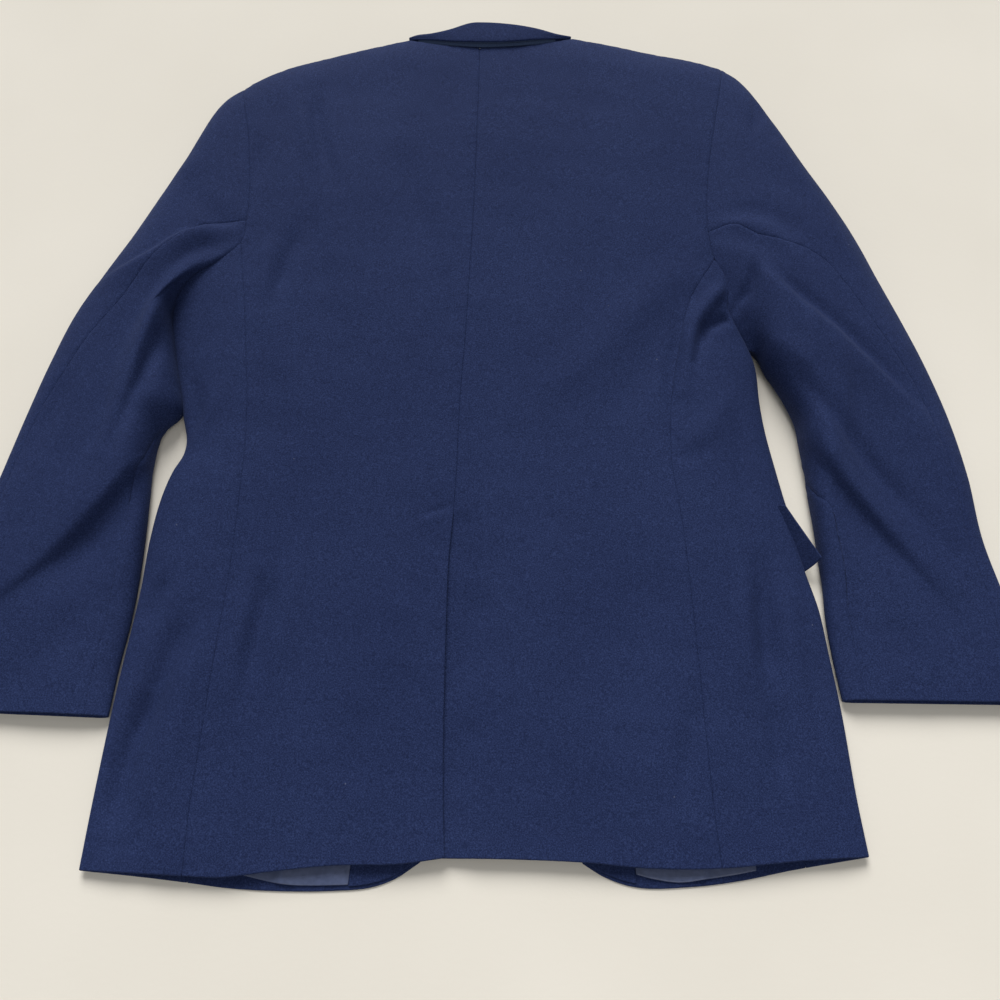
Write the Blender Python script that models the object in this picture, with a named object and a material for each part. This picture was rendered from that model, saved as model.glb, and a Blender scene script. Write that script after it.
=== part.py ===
"""A single-breasted navy blazer that lies face down on a flat surface, as its cut and sewn pieces.

All sizes are in millimetres in the garment's own frame: x runs from the wearer's left to the wearer's right,
y runs up the back from the hem to the collar, and z is the height over the surface that the blazer lies on.
The back and the upper sides make the top layer, the fronts make the bottom layer, and the two meet in a fold
at the outline. Each cloth piece is a grid of points on the middle of its cloth, thickened into a closed wall.
"""

import math

import bmesh
import bpy
import mathutils
import numpy as np

MM = 0.001
ORIGIN = (1.5, 384.0)  # the middle of the blazer's outline, which becomes the model's origin

CLOTH = 1.5  # wall of the wool pieces
LINING = 1.0  # wall of the lining and the facing
FELT = 1.2  # wall of the under collar
SEAM_GAP = 0.3  # between two pieces that are sewn together
SLEEVE_GAP = 0.7  # the same round a sleeve, where the cloth bends more
ARMPIT_GAP = 1.6  # the same at the top of a side panel, where the armpit bends most
LAYER_GAP = 0.4  # between two layers that lie on each other

EDGE_ROUND = 70.0  # how far in from a side fold the top layer still rises
SHOULDER_ROUND = 45.0  # the same, down from the shoulder line
FRONT_SHOULDER_ROUND = 32.0  # how far down the fronts the bottom layer reaches the floor
ARMPIT_DROP = 18.0  # how far over the armpit the front armhole comes down to the bottom layer
SLEEVE_ROUND = 45.0  # how far in from a sleeve's folds its top side still rises
BOW_FADE = 5  # how soon, down the sleeve, its rings lose the armhole's curve
HOOK = 300.0  # how far the upper rings swing out before they meet the inner fold

VENT_TOP = 264.0
VENT_UNDERLAP = 35.0  # how far the right back runs on under the left back
VENT_DROP = 2.6  # how much lower it lies there
VENT_BLEND = 30.0
VENT_COLUMN = 8.0  # how far from the centre the right back's next column of points is

LAYER_LIFT = CLOTH + LAYER_GAP  # a panel rises by this where another one lies under it
BREAK_Y = 335.0  # where the lapels start to turn over
BUTTON_X = 12.0
BUTTON_YS = (318.0, 218.0)
BUTTON_DIAMETER = 20.0
BUTTON_THICK = 3.6
BUTTON_RIM = 1.8
BUTTON_HOLES = 4
BUTTON_HOLE = 1.9
BUTTON_HOLE_RING = 3.0  # from the button's middle to the middle of each hole


def table(columns, *rows):
    """A dictionary of named columns."""
    return dict(zip(columns.split(), np.array(rows, float).T))


def spline(knots, values):
    """A smooth curve through the knots, whose slope at a knot is the mean of the two chords beside it."""
    knots, values = np.asarray(knots, float), np.asarray(values, float)
    chords = np.diff(values) / np.diff(knots)
    slopes = np.concatenate([chords[:1], (chords[:-1] + chords[1:]) / 2, chords[-1:]])

    def at(where):
        where = np.clip(np.asarray(where, float), knots[0], knots[-1])
        i = np.clip(np.searchsorted(knots, where) - 1, 0, len(knots) - 2)
        step = knots[i + 1] - knots[i]
        t = (where - knots[i]) / step
        start = values[i] * (1 + 2 * t) * (1 - t) ** 2 + values[i + 1] * t**2 * (3 - 2 * t)
        return start + step * t * (1 - t) * (slopes[i] * (1 - t) - slopes[i + 1] * t)

    return at


def rise(distance, width):
    """A quarter of an ellipse: 0 and upright at the edge, 1 and level from the width on."""
    return np.sqrt(1 - (1 - np.clip(distance / width, 0, 1)) ** 2)


def ramp(value, start, end):
    """A soft step from 0 at the start to 1 at the end."""
    t = np.clip((value - start) / (end - start), 0, 1)
    return t * t * (3 - 2 * t)


# The crown is the height of the top layer away from its edges.
CROWN = table(
    "y height",
    (-12, 9), (40, 11), (100, 14), (180, 18), (264, 23), (330, 27),
    (430, 34), (520, 40), (620, 45), (700, 46), (760, 46),
)
CENTRE = table(
    "y x",
    (0, -20), (50, -22), (175, -22), (224, -21), (264, -18), (301, -16), (365, -14),
    (432, -10), (567, -4), (688, -1), (759, 0),
)
NECK = table(
    "x y z",
    (-71, 778, 33), (-56, 771, 38), (-34, 764, 42), (3, 759, 44), (40, 762, 43), (66, 769, 40), (93, 780, 33),
)

LEFT = dict(
    sign=-1,
    edge=table(
        "y x z",
        (-8, -282, 5), (40, -280, 5), (120, -275, 6), (200, -268, 6.5), (250, -266, 7), (285, -261, 7.5),
        (308, -254, 8), (322, -247, 8), (336, -245, 8.5), (357, -250, 9), (389, -258, 10), (424, -263, 12),
        (446, -262.5, 13), (458, -266, 14),
    ),
    armhole=table(
        "y x z",
        (458, -266, 14), (478, -261, 20), (500, -246, 29), (514, -226, 36), (523, -214, 39), (546, -211, 43),
        (578, -211, 45), (612, -214, 46), (648, -219, 46), (692, -228, 46), (714, -231, 46),
    ),
    back_seam=table(
        "y x",
        (-12, -207), (33, -207), (121, -202), (225, -195), (294, -193), (329, -193), (366, -195),
        (415, -200), (466, -206), (523, -214),
    ),
    front_seam=table("y x", (-12, -205), (150, -195), (320, -185), (400, -190)),
    front_armhole=table(
        "y x",
        (458, -266), (464, -259), (474, -248), (489, -234), (515, -216), (560, -202), (610, -200), (670, -210), (714, -231),
    ),
    shoulder=table("x y z", (-231, 714, 30), (-220, 723, 30), (-190, 741, 30), (-151, 755, 30), (-106, 769, 31), (-71, 778, 33)),
    back_hem=table("x y", (-282, -8), (-245, -10), (-207, -12), (-180, -13), (-144, -9), (-101, -5), (-52, -4), (-20, 0)),
    front_hem=table("x y", (-282, -8), (-205, -12), (-177, -14), (-145, -20), (-101, -21), (-72, -18), (-54, -12), (-44, -6), (-38, -2)),
    front_edge=table(
        "y x",
        (-2, -38), (30, -31), (80, -22), (140, -8), (200, 8), (250, 20), (300, 25), (BREAK_Y, 25), (778, -71),
    ),
)
RIGHT = dict(
    sign=1,
    edge=table(
        "y x z",
        (1, 286, 5), (41, 283, 5), (107, 280, 6), (154, 276, 6.5), (186, 273, 7), (221, 267, 7), (263, 259, 7.5),
        (285, 253, 8), (313, 248, 8.5), (345, 244, 9), (374, 241, 10), (401, 237, 12), (414, 235.5, 13), (425, 239, 14),
    ),
    armhole=table(
        "y x z",
        (425, 239, 14), (445, 234, 18), (465, 228, 23), (487, 221, 30), (506, 213, 36), (531, 209, 42),
        (567, 210, 45), (613, 216, 46), (660, 225, 46), (721, 237, 46), (740, 240, 46),
    ),
    back_seam=table(
        "y x",
        (-7, 179), (26, 177), (113, 174), (200, 171), (238, 169), (276, 166), (302, 163), (329, 163),
        (366, 166), (415, 175), (464, 188), (506, 213),
    ),
    front_seam=table("y x", (-6, 241), (150, 228), (320, 208), (390, 200)),
    front_armhole=table(
        "y x",
        (425, 239), (431, 232), (441, 221), (457, 209), (485, 198), (530, 193), (570, 195), (620, 202), (690, 219), (740, 240),
    ),
    shoulder=table("x y z", (93, 780, 33), (131, 772, 31), (171, 761, 30), (211, 751, 30), (240, 740, 30)),
    back_hem=table("x y", (-20, 0), (34, -1), (80, -3), (127, -7), (179, -7), (236, -2), (286, 1)),
    front_hem=table("x y", (80, -3), (95, -12), (117, -19), (156, -19), (192, -15), (229, -8), (241, -6), (286, 1)),
    front_edge=table(
        "y x",
        (-3, 80), (30, 72), (80, 58), (140, 38), (200, 18), (250, 4), (300, 0), (BREAK_Y, 0), (780, 93),
    ),
)

# A row for each ring of a sleeve, from the armhole to the cuff. The outer and inner columns are its two folds,
# and the crown is its height between them. Hind and fore say where the two seams lie round the ring: 0 at the
# outer fold, 1 at the inner fold and 2 back at the outer fold.
LEFT["sleeve"] = table(
    "outer_x outer_y outer_z inner_x inner_y inner_z crown hind fore",
    (-231, 714, 30, -266, 458, 14, 46, 0.60, 1.22),
    (-249, 702, 29, -269.5, 450, 13.5, 46.5, 0.58, 1.21),
    (-263, 676, 28, -270.5, 436, 12, 47, 0.55, 1.19),
    (-282, 622, 26, -270, 420, 11, 47, 0.50, 1.18),
    (-300, 580, 24, -268, 403, 10, 46, 0.42, 1.15),
    (-318, 538, 22, -265, 383, 9, 44, 0.36, 1.12),
    (-339, 498, 20, -258.5, 360, 9, 41, 0.30, 1.06),
    (-354, 455, 18, -264, 338, 8, 37, 0.27, 0.98),
    (-368, 408, 16, -270, 312, 7, 32, 0.25, 0.92),
    (-380, 358, 14, -271, 283, 7, 27, 0.23, 0.82),
    (-395, 303, 12, -271, 250, 6, 23, 0.21, 0.79),
    (-407, 255, 10, -271, 215, 6, 19, 0.20, 0.78),
    (-414, 205, 8, -273, 178, 6, 16, 0.20, 0.78),
    (-419, 155, 7, -277, 140, 5.5, 13, 0.20, 0.78),
    (-423, 108, 6, -279.5, 102, 5.5, 11, 0.20, 0.78),
)
RIGHT["sleeve"] = table(
    "outer_x outer_y outer_z inner_x inner_y inner_z crown hind fore",
    (240, 740, 30, 239, 425, 14, 46, 0.60, 1.22),
    (257, 729, 29, 244.8, 418.5, 13.5, 47, 0.57, 1.21),
    (272, 702, 28, 245, 401, 12, 48, 0.56, 1.20),
    (291, 664, 26, 248, 384, 11, 48, 0.52, 1.18),
    (309, 620, 24, 256, 368, 10, 47, 0.46, 1.15),
    (327, 580, 22, 265, 349, 9, 45, 0.41, 1.12),
    (345, 538, 20, 271, 328, 9, 42, 0.37, 1.08),
    (358, 492, 18, 272, 305, 8, 38, 0.33, 1.02),
    (370, 445, 16, 274, 280, 7, 33, 0.29, 0.93),
    (384, 400, 14, 276, 256, 7, 28, 0.25, 0.82),
    (396, 352, 12, 278, 230, 6, 23, 0.23, 0.79),
    (406, 300, 10, 278, 205, 6, 19, 0.21, 0.78),
    (411, 245, 8, 278, 178, 6, 16, 0.20, 0.78),
    (425, 180, 7, 280, 148, 5.5, 13, 0.20, 0.78),
    (426, 112, 6, 283.5, 114, 5.5, 11, 0.20, 0.78),
)

# The largest folds of the sleeves: a ridge or trough along a bent line, with its width on the armhole's side
# of that line and on the cuff's side.
SLEEVE_FOLDS = {
    "left": table(
        "x0 y0 x1 y1 x2 y2 height above below",
        (-284, 345, -318, 286, -372, 232, 11, 46, 15),
        (-262, 480, -292, 420, -306, 360, 7, 18, 16),
        (-262, 462, -283, 405, -300, 370, -7, 14, 14),
    ),
    "right": table(
        "x0 y0 x1 y1 x2 y2 height above below",
        (262, 372, 318, 300, 372, 238, 8, 40, 16),
        (262, 470, 318, 425, 372, 372, 8, 24, 22),
        (252, 436, 296, 352, 340, 268, -6, 16, 16),
    ),
}


def bumps(folds, x, y):
    """The height that the folds add at each point."""
    total = np.zeros_like(x)
    for k in range(len(folds["height"])):
        corners = [np.array([folds[f"x{i}"][k], folds[f"y{i}"][k]]) for i in range(3)]
        nearest, across = np.full_like(x, np.inf), np.zeros_like(x)
        for start, end in zip(corners, corners[1:]):
            along = end - start
            reach = np.clip(((x - start[0]) * along[0] + (y - start[1]) * along[1]) / (along @ along), 0, 1)
            dx, dy = x - start[0] - reach * along[0], y - start[1] - reach * along[1]
            far = np.hypot(dx, dy)
            side = (along[0] * dy - along[1] * dx) / np.hypot(*along)
            across = np.where(far < nearest, side * np.sign(end[0] - start[0]), across)
            nearest = np.minimum(far, nearest)
        above, below = folds["above"][k], folds["below"][k]
        width = (above + below) / 2 + (above - below) / 2 * np.tanh(across / 6)
        total += folds["height"][k] * np.exp(-((nearest / width) ** 2))
    return total


# What turns over at the roll line, a row for each height on that line: how far out the piece reaches, and how much
# lower its edge lies there. The lapel's last row is the gorge, where the collar's leaf starts.
LAPEL = table(
    "roll_y reach drop",
    (410, 31, 6), (430, 38, 8), (480, 50, 13), (522, 56, 17), (565, 61, 20), (608, 65, 26), (650, 67, 34), (690, 66, 50),
)
COLLAR_LEAF = table("roll_y reach drop", (690, 36, 27), (706, 50, 20), (728, 46, 12), (750, 40, 7), (764, 36, 4), (778, 33, 0))

# The back of the collar, a row for each station across it: the neck seam, the roll and the edge of the fall.
COLLAR = table(
    "x neck_y neck_z roll_y leaf_y leaf_z",
    (-65, 775.3, 35.7, 781.5, 775.8, 41), (-51, 769.6, 39, 783.5, 770, 45.5), (-26, 762.4, 42.6, 786.8, 764.6, 49.5),
    (3, 759, 44, 788.3, 763, 50.8), (30, 760.8, 43.4, 787.6, 764.2, 50.2), (52, 765, 42, 784.8, 767.2, 48.6),
    (72, 771.4, 39.1, 783, 772.5, 45.5), (87, 777.6, 35.3, 782, 778, 41),
)

# The flaps of the hip pockets, from their front ends to their side ends.
FLAPS = {
    "left": table("top_x top_y low_x low_y", (-108, 258, -110, 206), (-155, 263, -158, 210), (-202, 268, -207, 216), (-248, 274, -254, 224)),
    "right": table(
        "top_x top_y low_x low_y",
        (108, 260, 112, 206), (152, 265, 156, 208), (194, 271, 204, 212), (228, 277, 240, 216), (241, 280, 262, 221),
        (247, 282, 271, 225), (252, 284, 283, 233),
    ),
}
FLAP_TURN, FLAP_OUT, FLAP_RISE = 264.0, 19.0, 16.5  # where the right flap leaves the floor, how far it runs on and how high

# The lining's lower edge, from the facing to the side.
INSIDES = {
    "left": table("x hem_y", (-107, -17), (-130, -15), (-155, -11), (-178, -7), (-200, -2)),
    "right": table("x hem_y", (116, -9), (134, -12), (152, -14), (178, -11), (205, -6)),
}
INSIDE_TOP = 95.0
FACING_INSET = 2.5  # from the front's edge to its facing's

HIND, FORE = LEFT["sleeve"]["hind"][0], LEFT["sleeve"]["fore"][0]  # the seams' turns on the armhole, on both sides

crown_at = spline(CROWN["y"], CROWN["height"])
centre_at = spline(CENTRE["y"], CENTRE["x"])
neck_at = {key: spline(NECK["x"], NECK[key]) for key in ("y", "z")}


class Half:
    """One side of the blazer: its outline, its seams and its heights."""

    def __init__(self, name, data):
        self.name, self.sign, self.data = name, data["sign"], data
        edge, armhole = data["edge"], data["armhole"]
        self.armpit_y, self.shoulder_y = armhole["y"][0], armhole["y"][-1]
        outline_y = np.concatenate([edge["y"], armhole["y"][1:]])
        self.edge_x = spline(outline_y, np.concatenate([edge["x"], armhole["x"][1:]]))
        self.edge_z = spline(outline_y, np.concatenate([edge["z"], armhole["z"][1:]]))
        self.back_seam = spline(data["back_seam"]["y"], data["back_seam"]["x"])
        self.front_armhole_x = spline(data["front_armhole"]["y"], data["front_armhole"]["x"])
        seam_top = self.height_at(FORE)
        self.front_seam = spline(
            np.append(data["front_seam"]["y"], seam_top),
            np.append(data["front_seam"]["x"], self.front_armhole_x(seam_top)),
        )
        self.back_hem = spline(data["back_hem"]["x"], data["back_hem"]["y"])
        self.front_hem = spline(data["front_hem"]["x"], data["front_hem"]["y"])
        below_break = data["front_edge"]["y"] <= BREAK_Y
        self.edge_below = spline(data["front_edge"]["y"][below_break], data["front_edge"]["x"][below_break])
        self.roll_start = np.array([data["front_edge"]["x"][-2], BREAK_Y])
        self.roll_end = np.array([data["front_edge"]["x"][-1], data["front_edge"]["y"][-1]])
        self.shoulder_at = {key: spline(data["shoulder"]["x"], data["shoulder"][key]) for key in ("y", "z")}
        self.sleeve_at = {key: spline(range(len(column)), column) for key, column in data["sleeve"].items()}
        self.last_ring = len(data["sleeve"]["crown"]) - 1

    def top_line(self, x):
        """The y and z of the shoulder line, or of the neck seam, over each x."""
        in_neck = (x > NECK["x"][0]) & (x < NECK["x"][-1])
        return [np.where(in_neck, neck_at[key](x), self.shoulder_at[key](x)) for key in ("y", "z")]

    def front_edge(self, y):
        """The x of the front's free edge and, over the break, of the line where its lapel turns over."""
        share = np.clip((y - self.roll_start[1]) / (self.roll_end[1] - self.roll_start[1]), 0, 1)
        roll = self.roll_start[0] + (self.roll_end[0] - self.roll_start[0]) * share
        return np.where(y < BREAK_Y, self.edge_below(y), roll)

    def underside_edge(self, y):
        """The x of the side fold and, over the armpit, of the front armhole."""
        return np.where(y < self.armpit_y, self.edge_x(y), self.front_armhole_x(y))

    def height_at(self, turn):
        """The y of a turn round the armhole."""
        return self.shoulder_y + (self.armpit_y - self.shoulder_y) * (1 - np.cos(math.pi * turn)) / 2

    def top(self, x, y):
        """The top layer over each point."""
        rim = self.edge_z(y)
        z = rim + (np.maximum(crown_at(y), rim) - rim) * rise(np.abs(x - self.edge_x(y)), EDGE_ROUND)
        line_y, line_z = self.top_line(x)
        return line_z + (z - line_z) * rise(line_y - y, SHOULDER_ROUND)

    def bottom(self, x, y):
        """The bottom layer under each point."""
        base = CLOTH / 2 + lift(self.name, x, y)
        rim = self.edge_z(np.minimum(y, self.armpit_y))
        rim = base + (rim - base) * (1 - ramp(y, self.armpit_y, self.armpit_y + ARMPIT_DROP))
        z = rim - (rim - base) * rise(np.abs(x - self.underside_edge(y)), 6 + 0.8 * rim)
        line_y, line_z = self.top_line(x)
        return line_z - (line_z - z) * rise(line_y - y, FRONT_SHOULDER_ROUND)

    def armhole(self, turn):
        """The armhole seam round one ring: down the back for turns of 0 to 1, and up the front for 1 to 2."""
        y = self.height_at(turn)
        back = np.mod(turn, 2) <= 1
        x = np.where(back, self.edge_x(y), self.underside_edge(y))
        return np.stack([x, y, np.where(back, self.top(x, y), self.bottom(x, y))], -1)

    def sleeve(self, ring, turn):
        """A point of the sleeve, on a ring from the armhole to the cuff and at a turn round it."""
        at = {key: curve(ring) for key, curve in self.sleeve_at.items()}
        start = self.armhole(turn)
        scoop = (start[..., 0] - self.edge_x(start[..., 1])) * (1 - ramp(ring, 0, 2))
        share = (1 - np.cos(math.pi * turn)) / 2
        back = np.mod(turn, 2) <= 1
        straight = [
            self.data["sleeve"][f"outer_{axis}"][0] * (1 - share) + self.data["sleeve"][f"inner_{axis}"][0] * share
            for axis in "xy"
        ]
        fade = (1 - ring / self.last_ring) ** BOW_FADE
        bow = self.edge_x(start[..., 1]) - straight[0]
        hook = self.sign * HOOK * ramp(ring, 0, 4) * (1 - ramp(ring, 5, 10)) * share**4 * (1 - share)
        x = at["outer_x"] * (1 - share) + at["inner_x"] * share + bow * fade + scoop + hook
        y = at["outer_y"] * (1 - share) + at["inner_y"] * share + (start[..., 1] - straight[1]) * fade
        width = np.hypot(at["outer_x"] - at["inner_x"], at["outer_y"] - at["inner_y"])
        rim = at["outer_z"] * (1 - share) + at["inner_z"] * share
        over = rise(share * width, SLEEVE_ROUND) * rise((1 - share) * width, SLEEVE_ROUND)
        under = rise(share * width, 6 + 0.8 * rim) * rise((1 - share) * width, 6 + 0.8 * rim)
        above = (at["crown"] - rim + bumps(SLEEVE_FOLDS[self.name], x, y)) * over
        z = np.where(back, rim + above, rim - (rim - CLOTH / 2) * under)
        near = 1 - ramp(ring, 0, 3)
        return np.stack([x, y, z * (1 - near) + start[..., 2] * near], -1)


def box_ramp(x, y, box, blend):
    """1 inside the box (x0, x1, y0, y1), falling softly to 0 outside it."""
    x0, x1, y0, y1 = box
    across = ramp(x, x0 - blend, x0) * (1 - ramp(x, x1, x1 + blend))
    return across * ramp(y, y0 - blend, y0) * (1 - ramp(y, y1, y1 + blend))


# Where the fronts rise over what lies between them and the floor: x0, x1, y0, y1.
LAPEL_ZONE = (-150, 168, 345, 800)
LEFT_FLAP_ZONE = (-300, -95, 185, 305)
RIGHT_FLAP_ZONE = (80, 320, 185, 310)
BUTTON_ZONE = (-25, 50, 180, 342)
OVERLAP_ZONE = (-50, 100, 170, 432)
ZONE_BLEND = 36.0


def lift(name, x, y):
    """How far the bottom layer lies over the floor."""
    height = LAYER_LIFT * box_ramp(x, y, LAPEL_ZONE, ZONE_BLEND)
    flap = LEFT_FLAP_ZONE if name == "left" else RIGHT_FLAP_ZONE
    height = np.maximum(height, LAYER_LIFT * box_ramp(x, y, flap, ZONE_BLEND))
    left = np.maximum(height, (BUTTON_THICK + LAYER_GAP) * box_ramp(x, y, BUTTON_ZONE, ZONE_BLEND))
    if name == "left":
        return left
    over = (left + LAYER_LIFT + 0.4) * box_ramp(x, y, OVERLAP_ZONE, ZONE_BLEND)
    return np.maximum(height, over)


def coons(bottom, top, left, right):
    """The grid of plan points between four edges: rows run from bottom to top, columns from left to right."""
    u = np.linspace(0, 1, len(bottom))[None, :, None]
    v = np.linspace(0, 1, len(left))[:, None, None]
    bottom, top, left, right = (np.asarray(edge, float) for edge in (bottom, top, left, right))
    ruled = (1 - v) * bottom[None] + v * top[None] + (1 - u) * left[:, None] + u * right[:, None]
    corners = (1 - u) * (1 - v) * bottom[0] + u * (1 - v) * bottom[-1] + (1 - u) * v * top[0] + u * v * top[-1]
    grid = ruled - corners
    grid[:, 0], grid[:, -1], grid[0], grid[-1] = left, right, bottom, top
    return grid


# Rows of the body's panels as shares of the way up, and the columns across them. The rows by the vent's top
# are close together, because there the right back steps down under the left one.
LOW_ROWS = np.array([0, 50, 100, 150, 200, 238, 252, 258, VENT_TOP, 310, 365, 420, 475, 530]) / 530
CENTRE_ROWS = np.array([568, 606, 644, 682, 720, 759])
NECK_COLUMNS, SHOULDER_COLUMNS = 3, 5
SIDE_COLUMNS = np.sin(math.pi / 2 * np.linspace(0, 1, 5))  # from the back seam to the side fold
UNDERSIDE_COLUMNS = 1 - np.sin(math.pi / 2 * np.linspace(1, 0, 4))  # from the side fold to the front seam

# The armhole as turns round it: from the hind seam of the sleeve down to the armpit, and up to the fore seam.
BACK_TURNS = np.linspace(0, HIND, 6)
FRONT_TURNS = np.linspace(FORE, 2, 8)
RING_ROWS = np.arange(len(LEFT["sleeve"]["crown"]))


def turn_at(half, y):
    """The turn at which the back armhole is at this height."""
    return math.acos(1 - 2 * (half.shoulder_y - y) / (half.shoulder_y - half.armpit_y)) / math.pi


def side_turns(half):
    """The armhole's turns along the top of the side panel: from the back seam, round the fold, to the front seam."""
    start = turn_at(half, half.data["back_seam"]["y"][-1])
    return np.concatenate([np.linspace(start, 1, len(SIDE_COLUMNS)), np.linspace(1, FORE, len(UNDERSIDE_COLUMNS))[1:]])


def along(curve, start, end, shares):
    """Plan points of a curve of y, at shares of the way between two heights."""
    y = start + (end - start) * shares
    return np.stack([curve(y), y], -1)


def across(curve, start, end, shares):
    """Plan points of a curve of x, at shares of the way between two places."""
    x = start + (end - start) * shares
    return np.stack([x, curve(x)], -1)


def on_layer(plan, layer):
    return np.concatenate([plan, layer(plan[..., 0], plan[..., 1])[..., None]], -1)


def back_panel(half):
    """From the side seam to the centre seam, with the vent's underlap on the right one."""
    data, seam_top = half.data, half.data["back_seam"]["y"][-1]
    seam = along(half.back_seam, half.back_hem(data["back_seam"]["x"][0]), seam_top, LOW_ROWS)
    up = np.concatenate([[turn_at(half, seam_top)], BACK_TURNS[::-1]])
    outer = np.concatenate([seam, half.armhole(up)[1:, :2]])
    rows = np.concatenate([LOW_ROWS * 530, CENTRE_ROWS])
    centre = np.stack([centre_at(rows), rows], -1)
    corner = data["shoulder"]["x"][0 if half.sign > 0 else -1]
    neck_x = np.linspace(0, corner, NECK_COLUMNS + 1)
    if half.sign > 0:
        neck_x = np.insert(neck_x, 1, VENT_COLUMN)
    shoulder_x = np.linspace(corner, half.armhole(0.0)[0], SHOULDER_COLUMNS + 1)[1:]
    top_x = np.concatenate([neck_x, shoulder_x])
    top = np.stack([top_x, half.top_line(np.concatenate([neck_x[:-1], [corner], shoulder_x]))[0]], -1)
    hem = across(half.back_hem, data["back_hem"]["x"][0 if half.sign > 0 else -1], seam[0, 0], top_x / top_x[-1])
    plan = coons(hem, top, centre, outer)
    grid = on_layer(plan, half.top)
    grid[-1, :, 2] = np.where(np.abs(top_x) < 1, neck_at["z"](top_x), half.top_line(top_x)[1])
    if half.sign > 0:
        inside = grid[:, 0, 1] < VENT_TOP - 1
        away = grid[..., 0] - centre_at(grid[..., 1])
        drop = VENT_DROP * (1 - ramp(away, 4, VENT_BLEND)) * inside[:, None]
        grid[..., 2] -= drop
        under = inside & (grid[:, 0, 1] < VENT_TOP - 8)
        flap = grid[:, :1].copy()
        flap[:, 0, 0] -= np.where(under, VENT_UNDERLAP, 0)
        flap[:, 0, 2] = np.where(under, half.top(flap[:, 0, 0], flap[:, 0, 1]) - VENT_DROP, flap[:, 0, 2])
        grid[under, 0] = flap[under, 0]
        return grid
    return grid[:, ::-1]


def side_panel(half):
    """From the front seam, round the fold, to the back seam."""
    data = half.data
    top = half.armhole(side_turns(half))
    folds = len(SIDE_COLUMNS)
    fold_x, hem_x = data["edge"]["x"][0], data["back_seam"]["x"][0]
    back_seam = along(half.back_seam, half.back_hem(hem_x), top[0, 1], LOW_ROWS)
    fold = along(half.edge_x, data["edge"]["y"][0], half.armpit_y, LOW_ROWS)
    front_x = data["front_seam"]["x"][0]
    front_seam = along(half.front_seam, half.front_hem(front_x), top[-1, 1], LOW_ROWS)
    hem = across(half.back_hem, hem_x, fold_x, SIDE_COLUMNS)
    upper = on_layer(coons(hem, top[:folds, :2], back_seam, fold), half.top)
    under_hem = across(half.front_hem, fold_x, front_x, UNDERSIDE_COLUMNS)
    lower = on_layer(coons(under_hem, top[folds - 1 :, :2], fold, front_seam), half.bottom)
    upper[-1], lower[-1] = top[:folds], top[folds - 1 :]
    lower[:, 0] = upper[:, -1] = on_layer(fold, half.top)
    grid = np.concatenate([upper, lower[:, 1:]], 1)
    return grid if half.sign > 0 else grid[:, ::-1]


def front_panel(half):
    """From the free edge to the side seam and the front armhole."""
    data = half.data
    armhole = half.armhole(FRONT_TURNS)
    front_x = data["front_seam"]["x"][0]
    seam = along(half.front_seam, half.front_hem(front_x), armhole[0, 1], LOW_ROWS)
    outer = np.concatenate([seam, armhole[1:, :2]])
    corner_y, neck_y = data["front_edge"]["y"][0], data["front_edge"]["y"][-1]
    low = corner_y + (BREAK_Y + 145 - corner_y) * LOW_ROWS
    rows = np.concatenate([low, np.linspace(low[-1], neck_y, len(FRONT_TURNS))[1:]])
    inner = np.stack([half.front_edge(rows), rows], -1)
    neck_x = data["front_edge"]["x"][-1]
    top = across(half.shoulder_at["y"], neck_x, armhole[-1, 0], np.linspace(0, 1, SHOULDER_COLUMNS + 1))
    hem = across(half.front_hem, data["front_edge"]["x"][0], front_x, np.linspace(0, 1, SHOULDER_COLUMNS + 1))
    grid = on_layer(coons(hem, top, inner, outer), half.bottom)
    grid[-1, :, 2] = half.shoulder_at["z"](grid[-1, :, 0])
    grid[len(LOW_ROWS) - 1 :, -1] = armhole
    return grid[:, ::-1] if half.sign > 0 else grid


def sleeve_panels(half):
    """The under sleeve between its two seams, and the top sleeve round the rest of each ring."""
    first = np.concatenate([[HIND], side_turns(half)])
    shares = (first - HIND) / (FORE - HIND)
    panels = {}
    rings = RING_ROWS[:, None]
    hind, fore = half.sleeve_at["hind"](rings), half.sleeve_at["fore"](rings)
    panels["under_sleeve"] = half.sleeve(*np.broadcast_arrays(rings, hind + (fore - hind) * shares))
    low = fore + (2 - fore) * (FRONT_TURNS - FORE) / (2 - FORE)
    high = 2 + hind * BACK_TURNS[1:] / HIND
    panels["top_sleeve"] = half.sleeve(*np.broadcast_arrays(rings, np.concatenate([low, high], 1)))
    return {name: grid[::-1, ::-half.sign] for name, grid in panels.items()}


def face_normals(grid):
    """The normals of a grid's cells, as long as the cells are large."""
    return np.cross(grid[1:, 1:] - grid[:-1, :-1], grid[1:, :-1] - grid[:-1, 1:])


def point_normals(grid):
    """The normals at a grid's points."""
    cells = face_normals(grid)
    total = np.zeros_like(grid)
    for rows in (slice(None, -1), slice(1, None)):
        for columns in (slice(None, -1), slice(1, None)):
            total[rows, columns] += cells
    return total / np.linalg.norm(total, axis=-1, keepdims=True)


def shared_normals(panels):
    """Each panel's normals at its points: where panels meet, the mean of theirs."""
    sums = {}
    keys = {name: [[tuple(np.round(p, 2)) for p in row] for row in grid] for name, grid in panels.items()}
    for name, grid in panels.items():
        for key_row, normal_row in zip(keys[name], point_normals(grid)):
            for key, normal in zip(key_row, normal_row):
                sums[key] = sums.get(key, 0) + normal
    normals = {name: np.array([[sums[key] for key in row] for row in rows]) for name, rows in keys.items()}
    return {name: n / np.linalg.norm(n, axis=-1, keepdims=True) for name, n in normals.items()}


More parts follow.
